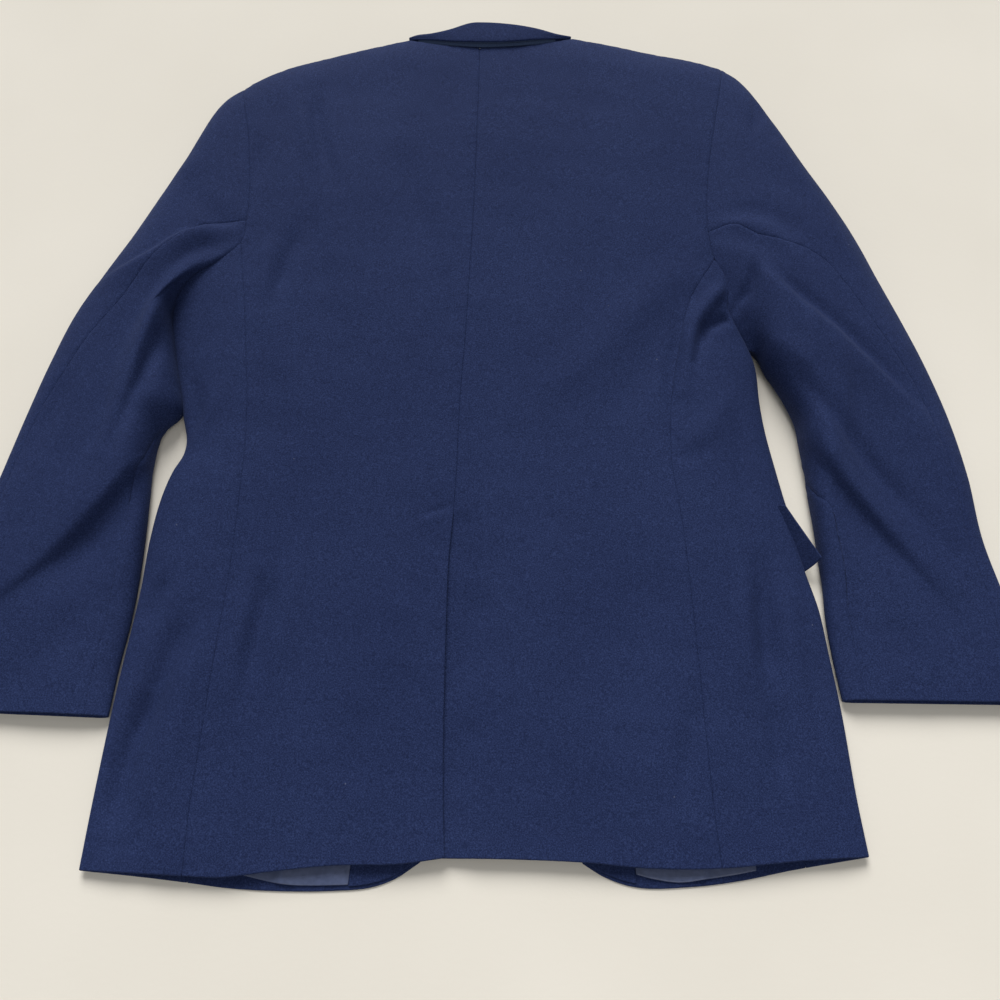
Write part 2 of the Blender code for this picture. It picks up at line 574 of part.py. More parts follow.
def inset(grid, gap, top_gap):
    """The grid with its border moved in, square to the border, by the gap: on the last row's middle by the top gap."""
    moved = grid.copy()
    for axis in (0, 1):
        for edge, inner in ((0, 1), (-1, -2)):
            border = np.take(grid, edge, axis)
            towards = np.take(grid, inner, axis) - border
            tangent = np.gradient(border, axis=0)
            tangent /= np.linalg.norm(tangent, axis=-1, keepdims=True)
            towards -= (towards * tangent).sum(-1, keepdims=True) * tangent
            middle = np.sin(np.linspace(0, math.pi, len(border)))[:, None]
            width = gap + (top_gap - gap) * middle * ((axis, edge) == (0, -1))
            towards *= width / np.linalg.norm(towards, axis=-1, keepdims=True)
            view = moved[edge] if axis == 0 else moved[:, edge]
            view += towards
    return moved


def material(name, colour, roughness):
    found = bpy.data.materials.get(name)
    if found:
        return found
    made = bpy.data.materials.new(name)
    made.use_nodes = True
    shader = made.node_tree.nodes["Principled BSDF"]
    shader.inputs["Base Color"].default_value = (*colour, 1)
    shader.inputs["Roughness"].default_value = roughness
    return made


def wool():
    return material("navy_wool", (0.020, 0.031, 0.094), 0.9)


def satin():
    return material("slate_lining", (0.063, 0.078, 0.136), 0.5)


def felt():
    return material("navy_felt", (0.018, 0.030, 0.063), 0.95)


def horn():
    return material("dark_button", (0.012, 0.014, 0.022), 0.35)


def solid(name, points, faces, finish):
    """An object from points in millimetres of the garment's frame."""
    points = (np.asarray(points) - (*ORIGIN, 0)) * MM
    mesh = bpy.data.meshes.new(name)
    mesh.from_pydata(points.tolist(), [], [tuple(map(int, face)) for face in faces])
    mesh.validate()
    mesh.materials.append(finish)
    made = bpy.data.objects.new(name, mesh)
    bpy.context.scene.collection.objects.link(made)
    return made


def wall(name, grid, thickness, finish, normals=None, gap=SEAM_GAP / 2, top_gap=SEAM_GAP / 2):
    """A closed wall round a grid of mid-cloth points."""
    if normals is None:
        normals = shared_normals({name: grid})[name]
    grid = inset(grid, gap, top_gap)
    rows, columns = grid.shape[:2]
    points = np.concatenate([(grid + normals * thickness / 2).reshape(-1, 3), (grid - normals * thickness / 2).reshape(-1, 3)])
    at = np.arange(rows * columns).reshape(rows, columns)
    a, b, c, d = at[:-1, :-1].ravel(), at[:-1, 1:].ravel(), at[1:, 1:].ravel(), at[1:, :-1].ravel()
    outer = np.concatenate([np.stack([a, b, c], 1), np.stack([a, c, d], 1)])
    inner = outer[:, ::-1] + rows * columns
    loop = np.concatenate([at[0, :-1], at[:-1, -1], at[-1, :0:-1], at[:0:-1, 0]])
    following = np.roll(loop, -1)
    below = rows * columns
    rim = np.concatenate([np.stack([following, loop, loop + below], 1), np.stack([following, loop + below, following + below], 1)])
    return solid(name, points, np.concatenate([outer, inner, rim]), finish)


def between(starts, ends, shares):
    """The grid of plan points on straight rows from each start to its end."""
    starts, ends = np.asarray(starts, float)[:, None], np.asarray(ends, float)[:, None]
    return starts + (ends - starts) * np.asarray(shares)[None, :, None]


def turned(half, grid):
    """The grid with its columns in the order that makes it face down and out."""
    return grid[:, ::-1] if half.sign > 0 else grid


def from_roll(half, rows):
    """Plan points on the roll line and at the outer edge of what turns over there, for each row of a table."""
    line = np.stack([half.front_edge(rows["roll_y"]), rows["roll_y"]], -1)
    return line, line + np.stack([half.sign * rows["reach"], -rows["drop"]], -1)


def lapel(half):
    """The turned-over part of a front, which lies between that front and the floor."""
    line, edge = from_roll(half, LAPEL)
    grid = on_layer(between(line, edge, np.linspace(0, 1, 4)), half.bottom)
    grid[..., 2] -= LAYER_LIFT
    return wall(f"lapel_{half.name}", turned(half, grid), CLOTH, wool())


def collar_leaf(half):
    """The collar's fall over a front: the front's points near the neck, moved out of its cloth."""
    line, edge = from_roll(half, COLLAR_LEAF)
    line[-1], edge[-1] = [(x, half.shoulder_at["y"](x)) for x in (line[-1, 0], edge[-1, 0])]
    grid = on_layer(between(line, edge, np.linspace(0, 1, 4)), half.bottom)
    grid[-1, :, 2] = half.shoulder_at["z"](grid[-1, :, 0])
    grid = turned(half, grid)
    grid += shared_normals({"leaf": grid})["leaf"] * LAYER_LIFT
    return wall(f"collar_leaf_{half.name}", grid, CLOTH, wool())


def flap(half):
    """The flap of a hip pocket, between its front and the floor. The right one's outer end stands up past the fold."""
    rows = FLAPS[half.name]
    top = np.stack([rows["top_x"], rows["top_y"]], -1)
    low = np.stack([rows["low_x"], rows["low_y"]], -1)
    plan = between(top, low, [0, 0.5, 1]).swapaxes(0, 1)[::-1]
    past = np.clip((plan[..., 0] - FLAP_TURN) / FLAP_OUT, 0, 1) if half.sign > 0 else np.zeros(plan.shape[:2])
    grid = np.concatenate([plan, (CLOTH / 2 + FLAP_RISE * past**1.2)[..., None]], -1)
    return wall(f"flap_{half.name}", turned(half, grid), CLOTH, wool())


def inside_front(name, half, hem, top, finish):
    """A piece on the inner side of a front by its hem, given by its lower and upper edges in the plan."""
    plan = between(hem, top, np.linspace(0, 1, 5)).swapaxes(0, 1)
    grid = on_layer(plan, half.bottom)
    grid[..., 2] += CLOTH / 2 + LAYER_GAP + LINING / 2
    return wall(name, grid[:, ::-1] if half.sign < 0 else grid, LINING, finish)


def facing_and_lining(half):
    """The wool facing along the front edge and the satin lining beside it, as far in as the hem shows them."""
    rows = INSIDES[half.name]
    line = rows["x"][0]
    hem_x = np.linspace(half.data["front_edge"]["x"][0] + half.sign * FACING_INSET, line, 5)
    hem = np.stack([hem_x, half.front_hem(hem_x) + FACING_INSET], -1)
    top_x = np.linspace(half.front_edge(INSIDE_TOP) + half.sign * FACING_INSET, line - half.sign * 8, 5)
    top = np.stack([top_x, np.full(5, INSIDE_TOP)], -1)
    inside_front(f"facing_{half.name}", half, hem, top, wool())
    hem = np.stack([rows["x"], rows["hem_y"]], -1)
    top = np.stack([rows["x"] - half.sign * 8, np.full(len(rows["x"]), INSIDE_TOP)], -1)
    inside_front(f"lining_{half.name}", half, hem, top, satin())


def u_profile(neck, roll, leaf):
    """Points in y and z from the neck seam along the stand, round the roll and back along the fall to its edge."""
    radius = (leaf[1] - neck[1]) / 2
    middle = np.array([roll - radius, (leaf[1] + neck[1]) / 2])
    bend = [middle + radius * np.array([math.cos(a), math.sin(a)]) for a in np.linspace(-math.pi / 2, math.pi / 2, 5)]
    stand = [np.array(neck) + (bend[0] - neck) * share for share in (0, 0.5)]
    fall = [bend[-1] + (np.array(leaf) - bend[-1]) * share for share in (0.5, 1)]
    return np.array(stand + bend + fall)


def collars():
    """The back of the collar: the wool outside, and the felt under collar in the fold between stand and fall."""
    rows = []
    for x, neck_y, neck_z, roll_y, leaf_y, leaf_z in zip(*COLLAR.values()):
        profile = u_profile((neck_y + LAYER_GAP, neck_z), roll_y, (leaf_y, leaf_z))
        rows.append(np.concatenate([np.full((len(profile), 1), x), profile], 1))
    grid = np.array(rows).swapaxes(0, 1)
    normals = shared_normals({"collar": grid})["collar"]
    wall("collar", grid[::-1], CLOTH, wool())
    inner = grid + normals * (CLOTH / 2 + SEAM_GAP + FELT / 2)
    wall("under_collar", inner[::-1], FELT, felt())


def button(number, y):
    """A turned disc with a raised rim and four holes, its face to the floor."""
    made = bpy.data.meshes.new(f"button_{number}")
    shape = bmesh.new()
    radius, dish = BUTTON_DIAMETER / 2, BUTTON_THICK - 1.4
    profile = [(0, BUTTON_THICK), (radius - 2, BUTTON_THICK), (radius, BUTTON_THICK - 1.2), (radius, 0.8),
               (radius - 0.8, 0), (radius - BUTTON_RIM, 0), (radius - BUTTON_RIM - 0.8, BUTTON_THICK - dish), (0, BUTTON_THICK - dish)]
    verts = [shape.verts.new((r * MM, 0, z * MM)) for r, z in profile]
    edges = [shape.edges.new(pair) for pair in zip(verts, verts[1:])]
    bmesh.ops.spin(shape, geom=verts + edges, axis=(0, 0, 1), cent=(0, 0, 0), angle=math.tau, steps=24)
    bmesh.ops.remove_doubles(shape, verts=shape.verts, dist=0.00001)
    bmesh.ops.recalc_face_normals(shape, faces=shape.faces)
    shape.to_mesh(made)
    shape.free()
    made.materials.append(horn())
    disc = bpy.data.objects.new(f"button_{number}", made)
    bpy.context.scene.collection.objects.link(disc)
    disc.location = ((BUTTON_X - ORIGIN[0]) * MM, (y - ORIGIN[1]) * MM, 0)
    for hole in range(BUTTON_HOLES):
        angle = math.tau * (hole + 0.5) / BUTTON_HOLES
        bpy.ops.mesh.primitive_cylinder_add(vertices=8, radius=BUTTON_HOLE / 2 * MM, depth=4 * BUTTON_THICK * MM)
        cutter = bpy.context.object
        cutter.name = f"cutter_{number}_{hole}"
        cutter.location = disc.location + mathutils.Vector((math.cos(angle), math.sin(angle), 0)) * BUTTON_HOLE_RING * MM
        cutter.hide_render, cutter.display_type = True, "WIRE"
        cut = disc.modifiers.new(cutter.name, "BOOLEAN")
        cut.object, cut.operation = cutter, "DIFFERENCE"


def main():
    for old in list(bpy.data.objects):
        bpy.data.objects.remove(old)
    shell = {}
    halves = [Half("left", LEFT), Half("right", RIGHT)]
    for half in halves:
        shell[f"back_{half.name}"] = back_panel(half)
        shell[f"side_{half.name}"] = side_panel(half)
        shell[f"front_{half.name}"] = front_panel(half)
        for name, grid in sleeve_panels(half).items():
            shell[f"{name}_{half.name}"] = grid
    normals = shared_normals(shell)
    for name, grid in shell.items():
        gap = SLEEVE_GAP if "sleeve" in name else SEAM_GAP
        top_gap = ARMPIT_GAP if "side" in name else gap
        wall(name, grid, CLOTH, wool(), normals[name], gap / 2, top_gap / 2)
    for half in halves:
        lapel(half)
        collar_leaf(half)
        flap(half)
        facing_and_lining(half)
    collars()
    for number, y in enumerate(BUTTON_YS, 1):
        button(number, y)


main()
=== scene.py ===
"""The looks of a single-breasted navy blazer that lies face down.

Each packed cloth solid is replaced by a thin shell on its own form, with the creases, seams and finish of real cloth.

All sizes of the garment are in millimetres in its own frame, as in part.py: x runs from the wearer's left to the
wearer's right, y runs up the back from the hem to the collar, and z is the height over the surface it lies on. The
back and the upper sides make the top layer, the fronts make the bottom layer, and the two meet in a fold at the
outline. The tables below are the part's own, because this script can't read that file.
"""

import math
from functools import partial

import bmesh
import bpy
import mathutils
import numpy as np
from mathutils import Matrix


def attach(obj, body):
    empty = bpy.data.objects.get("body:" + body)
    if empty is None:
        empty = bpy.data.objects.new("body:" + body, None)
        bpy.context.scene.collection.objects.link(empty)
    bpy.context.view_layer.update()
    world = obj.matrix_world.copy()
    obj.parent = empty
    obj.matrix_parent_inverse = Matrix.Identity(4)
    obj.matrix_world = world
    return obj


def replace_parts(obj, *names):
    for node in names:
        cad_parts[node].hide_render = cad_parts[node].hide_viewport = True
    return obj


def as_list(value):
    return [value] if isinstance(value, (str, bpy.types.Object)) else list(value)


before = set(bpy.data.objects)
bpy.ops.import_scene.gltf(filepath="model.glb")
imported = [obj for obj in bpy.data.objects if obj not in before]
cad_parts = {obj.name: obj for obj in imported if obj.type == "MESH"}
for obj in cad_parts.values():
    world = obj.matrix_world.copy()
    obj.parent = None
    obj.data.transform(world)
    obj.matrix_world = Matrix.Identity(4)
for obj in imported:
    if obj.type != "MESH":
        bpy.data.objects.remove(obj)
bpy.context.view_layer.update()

MM = 0.001
ORIGIN = (1.5, 384.0)  # the middle of the blazer's outline in the garment's frame, which is the model's origin

CLOTH = 1.5  # wall of the wool pieces
LINING = 1.0  # wall of the lining and the facing
FELT = 1.2  # wall of the under collar
LAYER_GAP = 0.4  # between two layers that lie on each other
SEAM_GAP = 0.3  # between the collar and the felt in its fold

EDGE_ROUND = 70.0  # how far in from a side fold the top layer still rises
SHOULDER_ROUND = 45.0  # the same, down from the shoulder line
FRONT_SHOULDER_ROUND = 32.0  # how far down the fronts the bottom layer reaches the floor
ARMPIT_DROP = 18.0  # how far over the armpit the front armhole comes down to the bottom layer
SLEEVE_ROUND, INNER_ROUND = 45.0, 17.0  # how far in from a sleeve's outer and inner folds its top side still rises
BOW_FADE = 5  # how soon, down the sleeve, its rings lose the armhole's curve
HOOK = 300.0  # how far the upper rings swing out before they meet the inner fold

HEAD_RISE = 2.4  # how much the sleeve's head is puffed up beside the armhole
RIM_BLEND = 1.4  # how softly the armhole's height is held under the crown's
FOLD_FADE = 8.0  # how far in from the outline the creases reach their height

VENT_TOP = 268.0
VENT_UNDERLAP = 35.0  # how far the right back runs on under the left back
VENT_DROP = 2.6  # how much lower it lies there
VENT_BLEND = 30.0  # how far from the centre it has come up again

LAYER_LIFT = CLOTH + LAYER_GAP  # a panel rises by this where another one lies under it
BREAK_Y = 335.0  # where the lapels start to turn over
BUTTON_X = 12.0
BUTTON_YS = (318.0, 218.0)
BUTTON_DIAMETER = 20.0
BUTTON_THICK = 3.6
BUTTON_HOLES = 4
BUTTON_HOLE = 1.9
BUTTON_HOLE_RING = 3.0  # from the button's middle to the middle of each hole


def table(columns, *rows):
    """A dictionary of named columns."""
    return dict(zip(columns.split(), np.array(rows, float).T))


def spline(knots, values):
    """A smooth curve through the knots, whose slope at a knot is the mean of the two chords beside it."""
    knots, values = np.asarray(knots, float), np.asarray(values, float)
    chords = np.diff(values) / np.diff(knots)
    slopes = np.concatenate([chords[:1], (chords[:-1] + chords[1:]) / 2, chords[-1:]])

    def at(where):
        where = np.clip(np.asarray(where, float), knots[0], knots[-1])
        i = np.clip(np.searchsorted(knots, where) - 1, 0, len(knots) - 2)
        step = knots[i + 1] - knots[i]
        t = (where - knots[i]) / step
        start = values[i] * (1 + 2 * t) * (1 - t) ** 2 + values[i + 1] * t**2 * (3 - 2 * t)
        return start + step * t * (1 - t) * (slopes[i] * (1 - t) - slopes[i + 1] * t)

    return at


def rise(distance, width):
    """A quarter of an ellipse: 0 and upright at the edge, 1 and level from the width on."""
    return np.sqrt(1 - (1 - np.clip(distance / width, 0, 1)) ** 2)


def ramp(value, start, end):
    """A soft step from 0 at the start to 1 at the end."""
    t = np.clip((value - start) / (end - start), 0, 1)
    return t * t * (3 - 2 * t)


# The crown is the height of the top layer away from its edges.
CROWN = table(
    "y height",
    (-12, 9), (40, 11), (100, 14), (180, 18), (264, 23), (330, 27),
    (430, 34), (520, 40), (620, 45), (700, 46), (760, 46),
)
CENTRE = table(
    "y x",
    (0, -20), (50, -22), (175, -22), (224, -21), (264, -18), (301, -16), (365, -14),
    (432, -10), (567, -4), (688, -1), (759, 0),
)
NECK = table(
    "x y z",
    (-71, 778, 33), (-56, 771, 38), (-34, 764, 42), (3, 759, 44), (40, 762, 43), (66, 769, 40), (93, 780, 33),
)

LEFT = dict(
    sign=-1,
    seam_blend=3.0,  # how many rings down the sleeve its height still follows the armhole's
    edge=table(
        "y x z",
        (-8, -282, 5), (40, -280, 5), (120, -275, 6), (200, -268, 6.5), (250, -266, 7), (285, -261.5, 7.5),
        (308, -255, 8), (322, -248.5, 8), (336, -247, 8.5), (357, -252, 9), (389, -260, 10), (424, -268, 13),
        (446, -272, 16), (458, -273, 18),
    ),
    armhole=table(
        "y x z",
        (458, -273, 18), (476, -267, 27), (492, -252, 35), (504, -232, 39), (523, -214, 41), (546, -211, 43),
        (578, -211, 45), (612, -214, 46), (648, -219, 46), (692, -228, 46), (714, -231, 46),
    ),
    back_seam=table(
        "y x",
        (-12, -207), (33, -207), (121, -202), (225, -195), (294, -193), (329, -193), (366, -195),
        (415, -200), (466, -206), (523, -214),
    ),
    front_seam=table("y x", (-12, -205), (150, -195), (320, -185), (400, -190)),
    front_armhole=table(
        "y x",
        (458, -273), (464, -266), (474, -253), (489, -236), (515, -216), (560, -202), (610, -200), (670, -210),
        (714, -231),
    ),
    shoulder=table(
        "x y z",
        (-231, 714, 30), (-220, 723, 30), (-190, 741, 30), (-151, 755, 30), (-106, 769, 31), (-71, 778, 33),
    ),
    back_hem=table(
        "x y",
        (-282, -8), (-245, -10), (-207, -12), (-180, -13), (-144, -9), (-101, -5), (-52, -4), (-20, 0),
    ),
    front_hem=table(
        "x y",
        (-282, -8), (-240, -12), (-205, -16), (-177, -19.5), (-145, -21.5), (-101, -21.5), (-72, -19), (-54, -12.5),
        (-44, -6), (-38, -2),
    ),
    front_edge=table(
        "y x",
        (-2, -38), (30, -31), (80, -22), (140, -8), (200, 8), (250, 20), (300, 25), (BREAK_Y, 25), (778, -71),
    ),
)
RIGHT = dict(
    sign=1,
    seam_blend=2.6,
    edge=table(
        "y x z",
        (1, 286, 5), (41, 283, 5), (107, 280, 6), (154, 276, 6.5), (186, 273, 7), (221, 265.5, 7), (263, 259.5, 7.5),
        (285, 255.5, 8), (313, 251, 8.5), (345, 246.5, 9), (374, 244.5, 10), (401, 244, 12.5), (414, 242, 14),
        (425, 238, 16),
    ),
    armhole=table(
        "y x z",
        (425, 238, 16), (443, 229, 22), (461, 222, 27), (478, 223, 32), (492, 220, 35), (506, 213, 37), (531, 209, 42),
        (567, 210, 45), (613, 216, 46), (660, 225, 46), (721, 237, 46), (740, 240, 46),
    ),
    back_seam=table(
        "y x",
        (-7, 179), (26, 177), (113, 174), (200, 171), (238, 169), (276, 166), (302, 163), (329, 163),
        (366, 166), (415, 175), (464, 188), (506, 213),
    ),
    front_seam=table("y x", (-6, 241), (150, 228), (320, 208), (390, 200)),
    front_armhole=table(
        "y x",
        (425, 238), (431, 230), (441, 219), (457, 209), (485, 198), (530, 193), (570, 195), (620, 202), (690, 219),
        (740, 240),
    ),
    shoulder=table("x y z", (93, 780, 33), (131, 772, 31), (171, 761, 30), (211, 751, 30), (240, 740, 30)),
    back_hem=table("x y", (-20, 0), (34, -1), (80, -3), (127, -7), (179, -7), (236, -2), (286, 1)),
    front_hem=table("x y", (80, -3), (95, -12), (117, -19), (156, -19), (192, -15), (229, -8), (241, -6), (286, 1)),
    front_edge=table(
        "y x",
        (-3, 80), (30, 72), (80, 58), (140, 38), (200, 18), (250, 4), (300, 0), (BREAK_Y, 0), (780, 93),
    ),
)

# A row for each ring of a sleeve, from the armhole to the cuff. The outer and inner columns are its two folds,
# and the crown is its height between them. Hind and fore say where the two seams lie round the ring: 0 at the
# outer fold, 1 at the inner fold and 2 back at the outer fold.
RING = "outer_x outer_y outer_z inner_x inner_y inner_z crown hind fore"
LEFT["sleeve"] = table(
    RING,
    (-231, 714, 30, -273, 458, 18, 46, 0.60, 1.22),
    (-247, 699, 29, -272, 450, 16.5, 46.5, 0.58, 1.21),
    (-260, 674, 28, -269.5, 436, 14, 47, 0.55, 1.19),
    (-280, 620.5, 26, -266, 420, 11, 47, 0.50, 1.18),
    (-299, 579, 24, -262, 403, 10, 46, 0.44, 1.15),
    (-318, 538, 22, -257, 383, 9, 44, 0.39, 1.12),
    (-338.5, 498, 20, -255, 362, 9, 41, 0.36, 1.06),
    (-358, 457.5, 18, -270, 343, 8, 37, 0.335, 0.98),
    (-372.5, 410.5, 16, -274, 313.5, 7, 32, 0.28, 0.92),
    (-385, 360.5, 14, -273, 283.5, 7, 27, 0.21, 0.82),
    (-397, 304, 12, -272, 250, 6, 23, 0.18, 0.79),
    (-407.5, 255, 10, -271.5, 215, 6, 19, 0.18, 0.78),
    (-414, 205, 8, -273, 178, 6, 16, 0.20, 0.78),
    (-419, 155, 7, -277, 140, 5.5, 13, 0.20, 0.78),
    (-423, 108, 6, -279.5, 102, 5.5, 11, 0.20, 0.78),
)
RIGHT["sleeve"] = table(
    RING,
    (240, 740, 30, 238, 425, 16, 46, 0.60, 1.22),
    (254.5, 726, 29, 247, 420, 14.5, 47, 0.57, 1.21),
    (270, 700, 28, 252, 405, 12, 48, 0.56, 1.20),
    (288.5, 662, 26, 260, 389, 11, 48, 0.52, 1.18),
    (308, 619, 24, 267.5, 372.5, 10, 47, 0.46, 1.15),
    (327.5, 580.5, 22, 274, 352, 9, 45, 0.41, 1.12),
    (346, 538.5, 20, 275.5, 329, 9, 42, 0.37, 1.08),
    (362, 494, 18, 277, 305.5, 8, 38, 0.33, 1.02),
    (378, 449.5, 16, 278, 280.5, 7, 33, 0.29, 0.93),
    (392.5, 405, 14, 279, 256.5, 7, 28, 0.25, 0.82),
    (404.5, 356, 12, 279.5, 230, 6, 23, 0.23, 0.79),
    (412, 302, 10, 280, 205, 6, 19, 0.21, 0.78),
    (414.5, 246, 8, 279, 178, 6, 16, 0.20, 0.78),
    (425, 180, 7, 280.5, 148, 5.5, 13, 0.20, 0.78),
    (426, 112, 6, 283.5, 114, 5.5, 11, 0.20, 0.78),
)

# The creases, a row each: four points along it, its height over the cloth (a trough's is negative) and its widths to
# the left and to the right of that line, as one goes along it. The first ones are the largest.
CREASE = "x0 y0 x1 y1 x2 y2 x3 y3 height left right"
BODY_FOLDS = table(
    CREASE,
    (204, 517, 146, 459, 94, 403, 39, 351, 3.2, 16, 20),
    (186, 460, 155, 414, 131, 376, 102, 340, -2.4, 18, 18),
    (230, 484, 205, 461, 187, 430, 175, 374, 7, 5, 8),
    (236, 458, 214, 446, 198, 434, 189, 402, -6.5, 6, 5),
    (180, 440, 171, 408, 166, 376, 164, 336, -4, 7, 7),
    (174, 322, 189, 334, 207, 358, 220, 383, 1.8, 9, 10),
    (168, 329, 174, 314, 188, 320, 199, 329, -1.4, 7, 7),
    (-174, 685, -166, 657, -160, 629, -154, 608, 2.8, 7, 7),
    (-157, 703, -155, 663, -145, 623, -131, 584, -3.6, 7, 8),
    (-158, 570, -149, 534, -141, 491, -135, 457, -2, 12, 12),
    (-217, 643, -212, 619, -211, 600, -210, 578, -3, 9, 6),
    (-162, 543, -168, 514, -174, 486, -179, 460, -3.9, 8, 8),
    (-183, 535, -188, 507, -190, 479, -191, 452, 2.5, 8, 8),
    (-67, 654, -65, 592, -52, 540, -33, 491, -3.9, 16, 18),
    (-44, 521, -33, 479, -27, 452, -23, 426, -2.1, 9, 9),
    (29, 578, 32, 527, 37, 478, 29, 438, -1.8, 20, 20),
    (-246, 396, -240, 374, -238, 352, -244, 326, -2.4, 7, 7),
    (-220, 380, -225, 361, -233, 343, -246, 318, 2, 6, 6),
    (-221, 183, -234, 152, -247, 107, -256, 65, -6.6, 11, 11),
    (-246, 125, -257, 84, -261, 47, -261, 11, -6.6, 10, 10),
    (-242, 212, -251, 199, -256, 183, -259, 170, -3.3, 8, 8),
    (-211, 162, -221, 122, -228, 74, -231, 37, 3.9, 12, 12),
    (-161, 224, -167, 187, -171, 151, -175, 116, -5.4, 10, 11),
    (-176, 214, -182, 171, -187, 131, -188, 97, 3.3, 10, 11),
    (-141, 235, -146, 197, -150, 161, -154, 121, 2.4, 13, 13),
    (-240, 47, -241, 25, -242, 11, -241, -6, -3, 8, 8),
    (229, 220, 227, 183, 227, 152, 225, 117, -6.6, 9, 10),
    (227, 118, 228, 93, 229, 70, 230, 47, -4.8, 8, 9),
    (214, 214, 212, 177, 211, 141, 211, 107, 3, 10, 11),
    (248, 216, 247, 173, 247, 132, 247, 93, 3.3, 10, 10),
    (171, 117, 166, 93, 158, 65, 152, 37, -3.3, 10, 10),
    (0, 214, -2, 177, -4, 146, -11, 111, -3.6, 15, 14),
    (1, 107, -3, 84, -9, 60, -12, 37, -3, 12, 12),
    (131, 230, 134, 192, 127, 156, 117, 121, -2.2, 22, 22),
    (-84, 117, -84, 93, -83, 65, -81, 37, -2.2, 14, 14),
    (-54, 224, -57, 182, -58, 141, -56, 102, 1.8, 20, 20),
    (64, 235, 58, 192, 57, 141, 61, 92, 1.8, 22, 22),
    (-45, 262, -36, 265, -27, 268, -17, 270, -1.4, 2.2, 2.2),
    (-46, 254, -37, 258, -28, 262, -20, 264, 0.8, 4, 4),
    (-187, 419, -178, 380, -171, 344, -171, 308, -1.8, 18, 18),
    (217, 362, 221, 325, 223, 290, 223, 256, -2.4, 10, 10),
)
SLEEVE_FOLDS = {
    "left": table(
        CREASE,
        (-240, 368, -279, 318, -316, 268, -372, 210, 6.5, 13, 30),
        (-246, 342, -283, 289, -321, 241, -376, 188, -8, 26, 4.5),
        (-206, 512, -250, 482, -283, 422, -308, 318, 5, 4.5, 12),
        (-212, 506, -260, 466, -279, 402, -303, 320, -7, 9, 5),
        (-204, 540, -256, 527, -297, 498, -352, 476, 4.5, 13, 4),
        (-218, 526, -256, 508, -283, 470, -306, 410, -2.4, 7, 8),
        (-306, 470, -311, 417, -314, 366, -316, 324, -1.8, 7, 7),
        (-352, 474, -368, 434, -377, 395, -385, 351, 1.6, 16, 16),
        (-315, 585, -291, 602, -268, 606, -243, 600, 1.8, 14, 12),
        (-264, 578, -244, 555, -231, 544, -218, 541, -1.8, 10, 9),
        (-285, 216, -300, 184, -326, 158, -351, 133, -1.5, 18, 18),
        (-278, 308, -278, 255, -279, 206, -277, 163, 1, 10, 12),
        (-344, 402, -356, 366, -366, 338, -376, 306, -2, 12, 10),
    ),
    "right": table(
        CREASE,
        (246, 406, 279, 334, 318, 275, 380, 202, 4, 9, 7),
        (256, 357, 286, 299, 324, 252, 378, 178, -5.5, 4, 22),
        (228, 508, 270, 454, 322, 404, 374, 356, 6, 7, 20),
        (250, 500, 286, 460, 328, 420, 374, 366, -4.5, 8, 5),
        (250, 420, 287, 364, 330, 302, 385, 232, -5, 9, 8),
        (292, 444, 287, 424, 285, 405, 283, 380, 2.2, 6, 6),
        (246, 500, 245, 484, 239, 470, 230, 458, -7, 4.5, 5.5),
        (226, 520, 248, 500, 262, 480, 274, 462, 2.4, 7, 6),
        (248, 534, 268, 517, 283, 500, 304, 480, 1.6, 8, 8),
        (266, 695, 265, 675, 262, 655, 259, 643, -3.2, 8, 5),
        (274, 689, 274, 665, 279, 641, 285, 625, -2.4, 9, 9),
        (214, 543, 240, 539, 262, 531, 280, 514, 2.2, 8, 9),
        (221, 554, 244, 554, 266, 546, 293, 525, -2, 9, 9),
        (373, 363, 393, 326, 402, 285, 409, 240, 1.8, 14, 14),
        (301, 217, 301, 184, 303, 158, 304, 133, -1.5, 13, 13),
        (332, 185, 334, 164, 336, 148, 335, 128, -1.5, 11, 11),
        (259, 578, 285, 555, 316, 527, 345, 485, 1.6, 16, 16),
    ),
}
# Folds of the layer that lies on the surface, which the photo doesn't show.
UNDER_FOLDS = table(
    CREASE,
    (-120, 560, -132, 500, -140, 440, -150, 380, 1.6, 14, 12),
    (-170, 420, -176, 360, -180, 320, -186, 280, 1.4, 12, 14),
    (-60, 190, -66, 140, -70, 90, -72, 40, 1.2, 16, 14),
    (-150, 170, -156, 120, -160, 80, -166, 30, 1.5, 12, 12),
    (120, 560, 134, 500, 142, 450, 150, 400, 1.7, 12, 14),
    (172, 400, 178, 350, 182, 310, 186, 260, 1.3, 12, 12),
    (110, 170, 116, 120, 120, 80, 126, 30, 1.4, 14, 12),
    (180, 160, 186, 110, 190, 70, 196, 20, 1.2, 12, 12),
)
FOLD_STEPS = 24  # samples along a crease
FOLD_REACH = 2.4  # how many of its widths a crease may reach past its line
FOLD_SIDES = 5.0  # how softly a crease's one width gives way to the other over its line
FOLD_END = 0.25  # the share of its height that a crease has at its ends
WAVES = ((0.28, 95), (0.13, 38))  # height and length of the slight waves in all cloth


